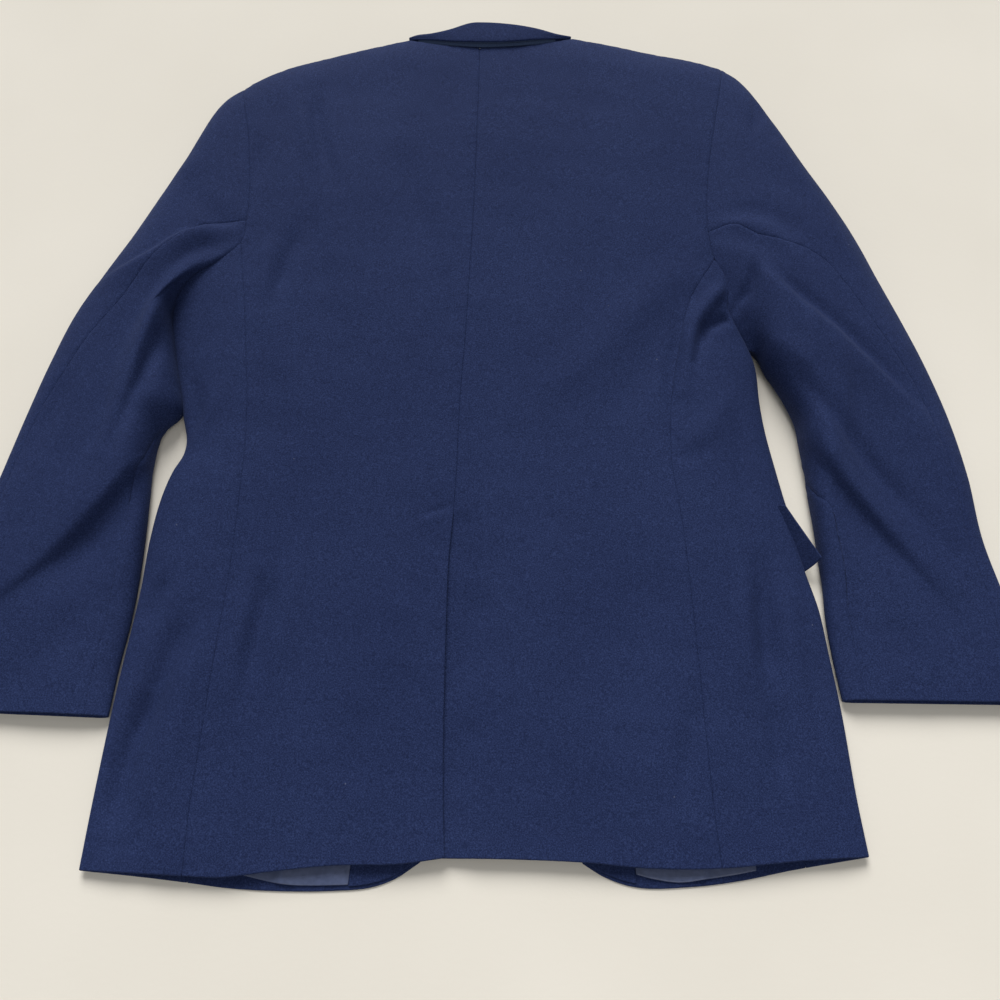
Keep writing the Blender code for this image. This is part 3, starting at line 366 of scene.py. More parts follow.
def folds_at(folds, x, y):
    """The height that the creases add at each point."""
    total = np.zeros_like(x)
    for k in range(len(folds["height"])):
        widths = folds["left"][k], folds["right"][k]
        corners = np.array([(folds[f"x{i}"][k], folds[f"y{i}"][k]) for i in range(4)])
        reach = FOLD_REACH * max(widths)
        low, high = np.min(corners, 0) - reach, np.max(corners, 0) + reach
        near = (x > low[0]) & (x < high[0]) & (y > low[1]) & (y < high[1])
        if not near.any():
            continue
        at = np.linspace(0, 3, FOLD_STEPS)
        line = np.stack([spline(range(4), column)(at) for column in corners.T], -1)
        px, py = x[near], y[near]
        nearest, side, share = np.full_like(px, np.inf), np.zeros_like(px), np.zeros_like(px)
        for i, (start, end) in enumerate(zip(line, line[1:])):
            step = end - start
            reach = np.clip(((px - start[0]) * step[0] + (py - start[1]) * step[1]) / (step @ step), 0, 1)
            dx, dy = px - start[0] - reach * step[0], py - start[1] - reach * step[1]
            far = np.hypot(dx, dy)
            closer = far < nearest
            side = np.where(closer, (step[0] * dy - step[1] * dx) / np.hypot(*step), side)
            share = np.where(closer, (i + reach) / (FOLD_STEPS - 1), share)
            nearest = np.minimum(far, nearest)
        width = (widths[0] + widths[1]) / 2 + (widths[0] - widths[1]) / 2 * np.tanh(side / FOLD_SIDES)
        taper = FOLD_END + (1 - FOLD_END) * ramp(share, 0, 0.3) * (1 - ramp(share, 0.62, 1))
        total[near] += folds["height"][k] * taper * np.exp(-((nearest / width) ** 2))
    return total


def ripples(x, y, wavelength, seed, waves=9):
    """Soft unevenness about 1 high, of roughly this wavelength."""
    draw = np.random.default_rng(seed)
    total = np.zeros_like(x)
    for _ in range(waves):
        angle, size, phase = draw.uniform(0, math.pi), draw.uniform(0.75, 1.5), draw.uniform(0, math.tau)
        total += np.sin((x * math.cos(angle) + y * math.sin(angle)) * math.tau / (wavelength * size) + phase)
    return total / math.sqrt(waves / 2)


def uneven(x, y, seed):
    """What no piece of cloth that has been worn is without: slight waves all over it."""
    return sum(height * ripples(x, y, length, seed + k) for k, (height, length) in enumerate(WAVES))


# What turns over at the roll line, a row for each height on that line: how far out the piece reaches, and how much
# lower its edge lies there. The lapel's last row is the gorge, where the collar's leaf starts.
LAPEL = table(
    "roll_y reach drop",
    (410, 31, 6), (430, 38, 8), (480, 50, 13), (522, 56, 17), (565, 61, 20), (608, 65, 26), (650, 67, 34),
    (690, 66, 50),
)
COLLAR_LEAF = table(
    "roll_y reach drop",
    (690, 36, 27), (706, 50, 20), (728, 46, 12), (750, 40, 7), (764, 36, 4), (778, 33, 0),
)
LEAF_INSET = 5.0  # how far under the shoulder line the leaf ends

# The back of the collar, a row for each station across it: the neck seam, the roll and the edge of the fall.
COLLAR = table(
    "x neck_y neck_z roll_y leaf_y leaf_z",
    (-71, 778, 33.6, 780.5, 778.3, 36.5), (-62, 773.6, 37, 779.6, 774.4, 40.5), (-48, 768.7, 39.5, 777.6, 770, 44.2),
    (-30, 763.5, 42.2, 779.2, 764.6, 47.6), (-10, 760, 43.7, 785, 761.2, 50), (5, 759, 44, 785.4, 760.4, 50.5),
    (22, 760, 43.7, 784.4, 760.8, 50.3), (40, 762.4, 43, 782.6, 763.2, 49.4), (58, 766.5, 41.2, 780.4, 767.6, 47.2),
    (76, 772.6, 38.2, 778.8, 773.2, 42.6), (91, 779, 34.4, 781.2, 779.2, 37.2),
)
COLLAR_BEND = 2.9  # radius of the collar's roll
FELT_INSET = 9  # stations by which the felt ends before the collar does

# The flaps of the hip pockets, from their front ends to their side ends.
FLAPS = {
    "left": table(
        "top_x top_y low_x low_y",
        (-108, 258, -110, 206), (-155, 263, -158, 210), (-202, 268, -207, 216), (-248, 274, -254, 224),
    ),
    "right": table(
        "top_x top_y low_x low_y",
        (108, 260, 112, 206), (152, 265, 156, 208), (194, 271, 204, 212), (228, 275, 240, 214), (241, 275, 259, 217),
        (248, 274, 270, 221), (254, 272, 279, 227),
    ),
}
FLAP_OUT, FLAP_RISE = 19.0, 20.0  # how far in from the right flap's end it leaves the floor, and how high that stands

# The lining's lower edge, from the facing to the side.
INSIDES = {
    "left": table("x hem_y", (-89, -17.5), (-112, -18), (-132, -17.5), (-150, -14.5), (-175, -8.5), (-200, -2)),
    "right": table("x hem_y", (118, -10.5), (132, -14), (150, -16), (170, -13.5), (188, -11), (205, -8)),
}
INSIDE_TOP = 95.0  # how high the facing and the lining are made
INSIDE_LEAN = 8.0  # how much nearer the front's edge the seam between them is up there
FACING_INSET = 2.5  # from the front's edge to its facing's
LINING_PLEAT = (0.9, 48, 4)  # its height, how far from the facing it lies, and its width
LINING_WAVES = (0.35, 5.5)  # the height of the soft waves up from the hem, and how far apart they are over 2 pi

FORE = LEFT["sleeve"]["fore"][0]  # the fore seam's turn on the armhole, on both sides

crown_at = spline(CROWN["y"], CROWN["height"])
centre_at = spline(CENTRE["y"], CENTRE["x"])
NECK_Y = CENTRE["y"][-1]
neck_at = {key: spline(NECK["x"], NECK[key]) for key in "yz"}


def under_round(rim):
    """How far in from a fold of this height the under layer has come down."""
    return 6 + 0.8 * rim


class Half:
    """One side of the blazer: its outline, its seams and its heights."""

    def __init__(self, name, data):
        self.name, self.sign, self.data = name, data["sign"], data
        edge, armhole, front_edge, front_seam = (data[k] for k in ("edge", "armhole", "front_edge", "front_seam"))
        self.armpit_y, self.shoulder_y = armhole["y"][0], armhole["y"][-1]
        outline = {key: np.concatenate([edge[key], armhole[key][1:]]) for key in "yxz"}
        self.edge_x, self.edge_z = (spline(outline["y"], outline[key]) for key in "xz")
        seams = ("back_seam", "front_armhole")
        self.back_seam, self.front_armhole_x = (spline(data[k]["y"], data[k]["x"]) for k in seams)
        self.back_hem, self.front_hem = (spline(data[k]["x"], data[k]["y"]) for k in ("back_hem", "front_hem"))
        seam_top = self.height_at(FORE)
        self.front_seam = spline(
            np.append(front_seam["y"], seam_top), np.append(front_seam["x"], self.front_armhole_x(seam_top))
        )
        below_break = front_edge["y"] <= BREAK_Y
        self.edge_below = spline(front_edge["y"][below_break], front_edge["x"][below_break])
        self.roll_start, self.roll_end = zip(front_edge["x"][-2:], (BREAK_Y, front_edge["y"][-1]))
        self.shoulder_at = {key: spline(data["shoulder"]["x"], data["shoulder"][key]) for key in "yz"}
        self.sleeve_at = {key: spline(range(len(column)), column) for key, column in data["sleeve"].items()}
        self.last_ring = len(data["sleeve"]["crown"]) - 1

    def top_line(self, x):
        """The y and z of the shoulder line, or of the neck seam, over each x."""
        in_neck = (x > NECK["x"][0]) & (x < NECK["x"][-1])
        return [np.where(in_neck, neck_at[key](x), self.shoulder_at[key](x)) for key in "yz"]

    def front_edge(self, y):
        """The x of the front's free edge and, over the break, of the line where its lapel turns over."""
        share = np.clip((y - self.roll_start[1]) / (self.roll_end[1] - self.roll_start[1]), 0, 1)
        roll = self.roll_start[0] + (self.roll_end[0] - self.roll_start[0]) * share
        return np.where(y < BREAK_Y, self.edge_below(y), roll)

    def underside_edge(self, y):
        """The x of the side fold and, over the armpit, of the front armhole."""
        return np.where(y < self.armpit_y, self.edge_x(y), self.front_armhole_x(y))

    def height_at(self, turn):
        """The y of a turn round the armhole."""
        return self.shoulder_y + (self.armpit_y - self.shoulder_y) * (1 - np.cos(math.pi * turn)) / 2

    def top(self, x, y):
        """The top layer over each point."""
        crown, inward = crown_at(y), np.abs(x - self.edge_x(y))
        rim = crown - RIM_BLEND * np.logaddexp(0, (crown - self.edge_z(y)) / RIM_BLEND)
        z = rim + (crown - rim) * rise(inward, EDGE_ROUND)
        line_y, line_z = self.top_line(x)
        z = line_z + (z - line_z) * rise(line_y - y, SHOULDER_ROUND)
        free = ramp(inward, 1, FOLD_FADE) * ramp(line_y - y, 2, FOLD_FADE)
        return z + (folds_at(BODY_FOLDS, x, y) + uneven(x, y, 7)) * free

    def bottom(self, x, y):
        """The bottom layer under each point."""
        base, inward = CLOTH / 2 + lift(self.name, x, y), np.abs(x - self.underside_edge(y))
        rim = self.edge_z(np.minimum(y, self.armpit_y))
        rim = base + (rim - base) * (1 - ramp(y, self.armpit_y, self.armpit_y + ARMPIT_DROP))
        z = rim - (rim - base) * rise(inward, under_round(rim))
        line_y, line_z = self.top_line(x)
        z = line_z - (line_z - z) * rise(line_y - y, FRONT_SHOULDER_ROUND)
        free = ramp(inward, 4, 30) * ramp(line_y - y, 8, 40) * (rim < 20)
        return z + np.maximum(folds_at(UNDER_FOLDS, x, y), 0) * free

    def armhole(self, turn):
        """The armhole seam round one ring: down the back for turns of 0 to 1, and up the front for 1 to 2."""
        y = self.height_at(turn)
        back = np.mod(turn, 2) <= 1
        x = np.where(back, self.edge_x(y), self.underside_edge(y))
        return np.stack([x, y, np.where(back, self.top(x, y), self.bottom(x, y))], -1)

    def sleeve(self, ring, turn):
        """A point of the sleeve, on a ring from the armhole to the cuff and at a turn round it."""
        at = {key: curve(ring) for key, curve in self.sleeve_at.items()}
        start_x, start_y, start_z = np.moveaxis(self.armhole(turn), -1, 0)
        share = (1 - np.cos(math.pi * turn)) / 2
        back = np.mod(turn, 2) <= 1

        def between_folds(axis, rows=at):
            return rows[f"outer_{axis}"] * (1 - share) + rows[f"inner_{axis}"] * share

        first = {key: column[0] for key, column in self.data["sleeve"].items()}
        fade = (1 - ring / self.last_ring) ** BOW_FADE
        bow = self.edge_x(start_y) - between_folds("x", first)
        scoop = (start_x - self.edge_x(start_y)) * (1 - ramp(ring, 0, 2))
        hook = self.sign * HOOK * ramp(ring, 0, 4) * (1 - ramp(ring, 5, 10)) * share**4 * (1 - share)
        x = between_folds("x") + bow * fade + scoop + hook
        y = between_folds("y") + (start_y - between_folds("y", first)) * fade
        rim = between_folds("z")
        width = np.hypot(at["outer_x"] - at["inner_x"], at["outer_y"] - at["inner_y"])
        outer, inner = share * width, (1 - share) * width
        over = rise(outer, SLEEVE_ROUND) * rise(inner, INNER_ROUND)
        under = rise(outer, under_round(rim)) * rise(inner, under_round(rim))
        relief = folds_at(SLEEVE_FOLDS[self.name], x, y) + uneven(x, y, 11 if self.sign > 0 else 12)
        head = HEAD_RISE * ramp(ring, 0, 0.7) * (1 - ramp(ring, 1, 3.4)) * (1 - ramp(share, 0.1, 0.45)) * over
        z = np.where(back, rim + (at["crown"] - rim) * over + head, rim - (rim - CLOTH / 2) * under)
        near = 1 - ramp(ring, 0, self.data["seam_blend"])
        z = z * (1 - near) + start_z * near
        return np.stack([x, y, z + np.where(back, relief * ramp(ring, 0, 0.5) * over, 0)], -1)


def box_ramp(x, y, box):
    """1 inside the box (x0, x1, y0, y1), falling softly to 0 outside it."""
    x0, x1, y0, y1 = box
    across = ramp(x, x0 - ZONE_BLEND, x0) * (1 - ramp(x, x1, x1 + ZONE_BLEND))
    return across * ramp(y, y0 - ZONE_BLEND, y0) * (1 - ramp(y, y1, y1 + ZONE_BLEND))


# Where the fronts rise over what lies between them and the floor: x0, x1, y0, y1.
LAPEL_ZONE = (-150, 168, 345, 800)
FLAP_ZONES = {"left": (-300, -95, 185, 305), "right": (80, 320, 185, 310)}
BUTTON_ZONE = (-25, 50, 180, 342)
OVERLAP_ZONE = (-50, 100, 170, 432)
ZONE_BLEND = 36.0


def lift(name, x, y):
    """How far the bottom layer lies over the floor."""
    height = LAYER_LIFT * np.maximum(box_ramp(x, y, LAPEL_ZONE), box_ramp(x, y, FLAP_ZONES[name]))
    left = np.maximum(height, (BUTTON_THICK + LAYER_GAP) * box_ramp(x, y, BUTTON_ZONE))
    if name == "left":
        return left
    return np.maximum(height, (left + LAYER_LIFT + LAYER_GAP) * box_ramp(x, y, OVERLAP_ZONE))


STEP = 2.6  # between the points of the cloth that shows
UNDER_STEP = 4.5  # the same on hidden cloth
EDGE_STEPS = np.array([0, 1.2, 2.0, 3.1, 4.6])  # the first points in from a seam or an edge
SEAM_TRIM = 0.64  # how far in from its seam a panel's rounded edge has its middle
SEAM_DIP, SEAM_REACH = 0.5, 1.7  # how deep the cloth is drawn in beside a seam, and how far from it
PUCKER = 0.14  # how high the puckers beside a seam are
PUCKER_LENGTHS = (9.3, 12.7, 17.9, 26.1)
PUCKER_FAR, PUCKER_SPREAD = 4.0, 40.0  # how far from the seam they are highest, and the square of how wide they are


def shares(length, step):
    """Shares of a length from 0 to 1, close together by both ends."""
    count = max(3, round((length - 2 * EDGE_STEPS[-1]) / step))
    middle = np.linspace(EDGE_STEPS[-1], length - EDGE_STEPS[-1], count + 1)
    return np.concatenate([EDGE_STEPS[:-1], middle, length - EDGE_STEPS[-2::-1]]) / length


def coons(bottom, top, left, right, u, v):
    """The grid of plan points between four edges, each a function of its share: rows go up and columns to the right."""
    ends = np.array([0.0, 1.0])
    across, up = u[None, :, None], v[:, None, None]
    ruled = (1 - up) * bottom(u)[None] + up * top(u)[None]
    ruled = ruled + (1 - across) * left(v)[:, None] + across * right(v)[:, None]
    low, high = ((1 - across) * edge(ends)[0] + across * edge(ends)[1] for edge in (bottom, top))
    return ruled - (1 - up) * low - up * high


def along(curve, start, end, where):
    """Plan points of a curve of y, at shares of the way between two heights."""
    y = start + (end - start) * where
    return np.stack([curve(y), y], -1)


def across(curve, start, end, where):
    """Plan points of a curve of x, at shares of the way between two places."""
    x = start + (end - start) * where
    return np.stack([x, curve(x)], -1)


def on_layer(plan, layer):
    """Plan points with the height of a layer at each."""
    return np.concatenate([plan, layer(plan[..., 0], plan[..., 1])[..., None]], -1)


SIDES = ("left", "right", "bottom", "top")


def arc_lengths(grid, axis):
    """How far each point is from the first one in its row or column, along the cloth."""
    steps = np.linalg.norm(np.diff(grid, axis=axis), axis=-1)
    return np.concatenate([np.zeros_like(np.take(steps, [0], axis)), np.cumsum(steps, axis)], axis)


def normals_of(grid):
    """The normals at a grid's points."""
    normal = np.cross(np.gradient(grid, axis=1), np.gradient(grid, axis=0))
    return normal / np.linalg.norm(normal, axis=-1, keepdims=True)


def trimmed(grid, widths):
    """The grid with the borders of the sides named moved in by so much."""
    grid = grid.copy()
    for side, width in widths.items():
        edge, inner = (0, 1) if side in ("left", "bottom") else (-1, -2)
        view = grid[:, edge] if side in ("left", "right") else grid[edge]
        towards = (grid[:, inner] if side in ("left", "right") else grid[inner]) - view
        view += towards * np.minimum(width / np.linalg.norm(towards, axis=-1, keepdims=True), 0.85)
    return grid


def edged(grid, thickness):
    """The grid moved in all round, so that its rounded edges end where it did."""
    return trimmed(grid, {side: thickness / 2 for side in SIDES})


def seamed(grid, sides, seed):
    """The grid with its cloth drawn in towards the seams on the given sides, and slightly puckered beside them."""
    draw = np.random.default_rng(seed)
    offset = np.zeros(grid.shape[:2])
    for side in sides:
        axis = 1 if side in ("left", "right") else 0
        far = arc_lengths(grid, axis)
        if side in ("right", "top"):
            far = np.take(far, [-1], axis) - far
        run = arc_lengths(grid, 1 - axis)
        waves = sum(np.sin(run * math.tau / size + draw.uniform(0, math.tau)) for size in PUCKER_LENGTHS) / 2
        offset -= SEAM_DIP * np.exp(-((far / SEAM_REACH) ** 2))
        offset += PUCKER * waves * np.exp(-((far - PUCKER_FAR) ** 2) / PUCKER_SPREAD)
    grid = grid + normals_of(grid) * offset[..., None]
    return trimmed(grid, {side: SEAM_TRIM if side in sides else CLOTH / 2 for side in SIDES})


# ---------------------------------------------------------------- the panels

BACK_SEAM_BOW = 7.0  # how much longer than the seam the first part of the back's outer side is
FRONT_SEAM_OVER_BREAK = 145.0  # how far over the break the front's outer side passes from its seam to the armhole
FOLD_LONGER = 1.12  # how many times as long as its plan the cloth over a side fold is
FOLD_START, FOLD_POINTS = 0.97, 7  # the share of that way from which the fold has its own points, and their number
SLEEVE_WIDTHS = {"under_sleeve": 190, "top_sleeve": 300}  # about how far it is between the seams
GAPE = (0.5, 1.5)  # how far the vent's free edge stands up, and how much more halfway up


def up_to_shoulder(half, seam, low_y, seam_top, armhole, total, seam_run, where):
    """Plan points at shares of the total way up a seam, which takes up the first run, and the armhole over it."""
    run = where * total
    low = along(seam, low_y, seam_top, run / seam_run)
    y = seam_top + (half.shoulder_y - seam_top) * np.clip((run - seam_run) / (total - seam_run), 0, 1)
    return np.where((run < seam_run)[:, None], low, np.stack([armhole(y), y], -1))


def back_panel(half):
    """(grid, cells that are cloth) from the centre seam to the side seam, the right one with the vent's underlap."""
    data, seam_top = half.data, half.data["back_seam"]["y"][-1]
    hem_x = data["back_hem"]["x"][0 if half.sign > 0 else -1], data["back_seam"]["x"][0]
    width, length = abs(hem_x[1]), NECK_Y
    seam_run = seam_top + BACK_SEAM_BOW

    def top(where):
        x = where * half.edge_x(half.shoulder_y)
        return np.stack([x, half.top_line(x)[0]], -1)

    u, v = shares(width, STEP), shares(length, STEP)
    if half.sign > 0:
        u = np.concatenate([-np.linspace(VENT_UNDERLAP, 2.4, 14) / width, u])
    hem, centre = partial(across, half.back_hem, *hem_x), partial(along, centre_at, 0, NECK_Y)
    low_y = half.back_hem(hem_x[1])
    outer = partial(up_to_shoulder, half, half.back_seam, low_y, seam_top, half.edge_x, length, seam_run)
    plan = coons(hem, top, centre, outer, np.maximum(u, 0), v)
    plan[..., 0] += np.minimum(u, 0) * width
    grid = on_layer(plan, half.top)
    cells = np.ones((len(v) - 1, len(u) - 1), bool)
    height = grid[..., 1]
    away = grid[..., 0] - centre_at(height)
    if half.sign > 0:
        open_here = 1 - ramp(height, VENT_TOP - 14, VENT_TOP + 1)
        grid[..., 2] -= VENT_DROP * open_here * (1 - ramp(away, 3, VENT_BLEND))
        first, closed = (u < 0).sum(), v * length > VENT_TOP - 9
        cells[closed[:-1], :first] = False
        grid[..., 2] -= SEAM_DIP * np.exp(-((away / SEAM_REACH) ** 2)) * closed[:, None]
        grid[closed, first, 0] += SEAM_TRIM
        return grid, cells
    # The left back's free edge by the vent stands up a little over the right back.
    gape = GAPE[0] + GAPE[1] * ramp(height, 60, 150) * (1 - ramp(height, 175, 245))
    free = (1 - ramp(height, VENT_TOP - 16, VENT_TOP - 2)) * (1 - ramp(-away, 0, 26)) ** 1.5
    grid[..., 2] += gape * free
    return grid[:, ::-1], cells


def side_panel(half):
    """From the front seam, round the fold, to the back seam."""
    data = half.data
    fold_x, hem_x, front_x = data["edge"]["x"][0], data["back_seam"]["x"][0], data["front_seam"]["x"][0]
    low_y, seam_top = data["edge"]["y"][0], data["back_seam"]["y"][-1]
    armpit_y, fore_y = half.armpit_y, half.height_at(FORE)
    v = shares(armpit_y - low_y, STEP)
    arc = shares(abs(fold_x - hem_x) * FOLD_LONGER, STEP)
    arc = arc[arc < FOLD_START]
    turn = np.concatenate([arc, np.linspace(arc[-1], 1, FOLD_POINTS)[1:]])
    u = np.sin(math.pi / 2 * turn)  # the top half's columns, close together by the fold
    under_u = 1 - np.sin(math.pi / 2 * shares(abs(fold_x - front_x), UNDER_STEP)[::-1])
    fold = partial(along, half.edge_x, low_y, armpit_y)
    armhole_top = partial(along, half.edge_x, seam_top, armpit_y)
    armhole_under = partial(along, half.front_armhole_x, armpit_y, fore_y)
    back_seam = partial(along, half.back_seam, half.back_hem(hem_x), seam_top)
    front_seam = partial(along, half.front_seam, half.front_hem(front_x), fore_y)
    upper = coons(partial(across, half.back_hem, hem_x, fold_x), armhole_top, back_seam, fold, u, v)
    lower = coons(partial(across, half.front_hem, fold_x, front_x), armhole_under, fold, front_seam, under_u, v)
    grid = np.concatenate([on_layer(upper, half.top), on_layer(lower, half.bottom)], 1)
    return grid[:, :: half.sign]


def front_panel(half):
    """From the free edge to the side seam and the front armhole."""
    edge, front_x, fore_y = half.data["front_edge"], half.data["front_seam"]["x"][0], half.height_at(FORE)
    (edge_x, corner_y), (neck_x, neck_y) = ((edge["x"][k], edge["y"][k]) for k in (0, -1))
    total, seam_run = neck_y - corner_y, BREAK_Y + FRONT_SEAM_OVER_BREAK - corner_y
    u, v = shares(abs(front_x - edge_x), UNDER_STEP), shares(total, UNDER_STEP)
    hem, inner = partial(across, half.front_hem, edge_x, front_x), partial(along, half.front_edge, corner_y, neck_y)
    low_y = half.front_hem(front_x)
    outer = partial(up_to_shoulder, half, half.front_seam, low_y, fore_y, half.front_armhole_x, total, seam_run)
    top = partial(across, half.shoulder_at["y"], neck_x, half.edge_x(half.shoulder_y))
    return turned(half, on_layer(coons(hem, top, inner, outer, u, v), half.bottom))


def sleeve_panels(half):
    """The under sleeve between its two seams, and the top sleeve round the rest of each ring."""
    rows = half.data["sleeve"]
    middle = np.stack([rows[f"outer_{axis}"] + rows[f"inner_{axis}"] for axis in "xy"], -1) / 2
    run = np.cumsum([0, *np.linalg.norm(np.diff(middle, axis=0), axis=-1)])
    rings = spline(run / run[-1], range(len(run)))(shares(run[-1], STEP))[:, None]
    hind, fore = half.sleeve_at["hind"](rings), half.sleeve_at["fore"](rings)
    spans = {"under_sleeve": (hind, fore), "top_sleeve": (fore, 2 + hind)}
    turns = {name: start + (end - start) * shares(SLEEVE_WIDTHS[name], STEP) for name, (start, end) in spans.items()}
    grids = {name: half.sleeve(*np.broadcast_arrays(rings, turn)) for name, turn in turns.items()}
    return {name: grid[::-1, :: -half.sign] for name, grid in grids.items()}


# ---------------------------------------------------------------- meshes


def linked(name, data):
    """A new object in the scene."""
    made = bpy.data.objects.new(name, data)
    bpy.context.scene.collection.objects.link(made)
    return made


def object_of(name, points, faces, finish):
    """A piece from points in millimetres of the garment's frame."""
    points = (np.asarray(points, float) - (*ORIGIN, 0)) * MM
    mesh = bpy.data.meshes.new(name)
    mesh.from_pydata(points.tolist(), [], faces.tolist())
    mesh.validate()
    mesh.shade_smooth()
    mesh.materials.append(finish)
    return riding(linked(name, mesh))


def riding(made):
    """The object on the part's one body."""
    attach(made, "root")
    return made


RIM_TURNS = (45, 0, -45)  # the points round a cut edge, in degrees from its middle


def wall(name, grid, thickness, finish, cells=None):
    """A closed shell with rounded edges on a grid of mid-cloth points."""
    rows, columns = grid.shape[:2]
    out = thickness / 2
    points, normals = grid.reshape(-1, 3), normals_of(grid).reshape(-1, 3)
    at = np.arange(rows * columns).reshape(rows, columns)
    quads = np.stack([at[:-1, :-1], at[:-1, 1:], at[1:, 1:], at[1:, :-1]], -1)
    quads = quads[cells] if cells is not None else quads.reshape(-1, 4)
    # The border is made of the quads' edges that no other quad runs along the other way.
    starts, ends = quads.ravel(), np.roll(quads, -1, 1).ravel()
    forward, back = starts * len(points) + ends, ends * len(points) + starts
    rim = ~np.isin(forward, back)
    starts, ends = starts[rim], ends[rim]
    tangent = points[ends] - points[starts]
    outward = np.zeros_like(points)
    for border in (starts, ends):
        np.add.at(outward, border, np.cross(tangent, normals[border]))
    border = np.unique(starts)
    outward = outward[border] / np.linalg.norm(outward[border], axis=-1, keepdims=True)
    index = np.full(len(points), -1)
    index[border] = np.arange(len(border))
    layers, chain = [points + normals * out], [(starts, ends)]
    for turn in np.radians(RIM_TURNS):
        base = sum(map(len, layers))
        layers.append(points[border] + out * (normals[border] * math.sin(turn) + outward * math.cos(turn)))
        chain.append((index[starts] + base, index[ends] + base))
    base = sum(map(len, layers))
    layers.append(points - normals * out)
    chain.append((starts + base, ends + base))
    faces = [quads, quads[:, ::-1] + base]
    for upper, lower in zip(chain, chain[1:]):
        faces.append(np.stack([upper[1], upper[0], lower[0], lower[1]], 1))
    points, faces = np.concatenate(layers), np.concatenate(faces)
    used = np.unique(faces)
    renumber = np.full(len(points), -1)
    renumber[used] = np.arange(len(used))
    return object_of(name, points[used], renumber[faces], finish)


def between(starts, ends, where):
    """The grid of plan points on straight rows from each start to its end."""
    starts, ends = np.asarray(starts, float)[:, None], np.asarray(ends, float)[:, None]
    return starts + (ends - starts) * np.asarray(where)[None, :, None]


def turned(half, grid):
    """The grid with its columns in the order that makes it face down and out."""
    return grid[:, :: -half.sign]


def finer(rows, count):
    """A table's rows as smooth curves, read at evenly spaced places."""
    knots = np.arange(len(next(iter(rows.values()))))
    where = np.linspace(0, knots[-1], count)
    return {key: spline(knots, column)(where) for key, column in rows.items()}


# ---------------------------------------------------------------- materials


class Shader:
    """A principled material whose nodes are added by short calls."""

    def __init__(self, name, roughness, **settings):
        self.material = bpy.data.materials.new(name)
        self.material.use_nodes = True
        self.tree = self.material.node_tree
        self.shader = self.tree.nodes["Principled BSDF"]
        for key, value in {"Roughness": roughness, **settings}.items():
            self.put(self.shader.inputs[key.replace("_", " ")], value)
        self.place = self.add("ShaderNodeTexCoord").outputs["Object"]

    def put(self, socket, source):
        """A link from an output, or a plain value, into an input."""
        if hasattr(source, "links"):
            self.tree.links.new(source, socket)
        else:
            socket.default_value = source

    def add(self, kind, inputs=(), **settings):
        node = self.tree.nodes.new(kind)
        for key, value in settings.items():
            setattr(node, key, value)
        for key, value in dict(inputs).items():
            self.put(node.inputs[key], value)
        return node

    def noise(self, scale, detail, roughness, place=None):
        inputs = {"Vector": place or self.place, "Scale": scale, "Detail": detail, "Roughness": roughness}
        return self.add("ShaderNodeTexNoise", inputs).outputs["Fac"]

    def turned(self, **mapping):
        """The place, turned or stretched."""
        return self.add("ShaderNodeMapping", {"Vector": self.place, **mapping}).outputs[0]

    def ramp(self, value, *stops):
        """The value through a colour ramp of (position, colour) stops."""
        node = self.add("ShaderNodeValToRGB", {"Fac": value})
        for k, (position, colour) in enumerate(stops):
            stop = node.color_ramp.elements[k] if k < 2 else node.color_ramp.elements.new(position)
            stop.position, stop.color = position, (*colour, 1)
        return node.outputs["Color"]

    def mix(self, share, first, second, blend="MIX"):
        return self.add("ShaderNodeMix", {0: share, 6: first, 7: second}, data_type="RGBA", blend_type=blend).outputs[2]

    def math(self, operation, *values):
        return self.add("ShaderNodeMath", enumerate(values), operation=operation).outputs[0]

    def lines(self, angle, pitch):
        """Waves across the cloth's plan at an angle, so many metres apart, from 0 to 1."""
        place = self.turned(Rotation=(0, 0, math.radians(angle)))
        inputs = {"Vector": place, "Scale": 1 / pitch / 3.18, "Distortion": 1.2, "Detail Scale": 2.0}
        return self.add("ShaderNodeTexWave", inputs).outputs["Fac"]

    def finish(self, colour, height, strength, distance):
        bump = self.add("ShaderNodeBump", {"Height": height, "Strength": strength, "Distance": distance})
        self.put(self.shader.inputs["Normal"], bump.outputs[0])
        self.put(self.shader.inputs["Base Color"], colour)
        return self.material


def wool_material():
    """Fine worsted twill: yarns of several navies, a slight nap and a few specks of lint."""
    nap = dict(Sheen_Weight=0.05, Sheen_Roughness=0.4, Sheen_Tint=(0.5, 0.62, 1, 1))
    made = Shader("navy_wool", 0.85, Specular_IOR_Level=0.12, **nap)
    navies = (0.30, (0.0085, 0.0155, 0.0530)), (0.50, (0.0160, 0.0270, 0.0860)), (0.72, (0.0300, 0.0480, 0.1350))
    colour = made.ramp(made.noise(950, 2, 0.6), *navies)
    broad = (9, 3, 0.5), (0.30, (0.90, 0.91, 0.93)), (0.70, (1.08, 1.07, 1.05))
    mottled = (160, 3, 0.6), (0.30, (0.93, 0.93, 0.94)), (0.70, (1.07, 1.07, 1.06))
    for grain, *tones in (broad, mottled):
        colour = made.mix(1.0, colour, made.ramp(made.noise(*grain), *tones), "MULTIPLY")
    specks = made.add("ShaderNodeTexVoronoi", {"Vector": made.place, "Scale": 26.0})
    near = made.math("LESS_THAN", specks.outputs["Distance"], 0.016)
    colour = made.mix(made.math("MULTIPLY", near, 0.35), colour, (0.20, 0.22, 0.30, 1))
    weave = made.math("ADD", made.math("MULTIPLY", made.lines(58, 0.0009), 0.5), made.noise(1300, 2, 0.6))
    return made.finish(colour, weave, 0.35, 0.0004)


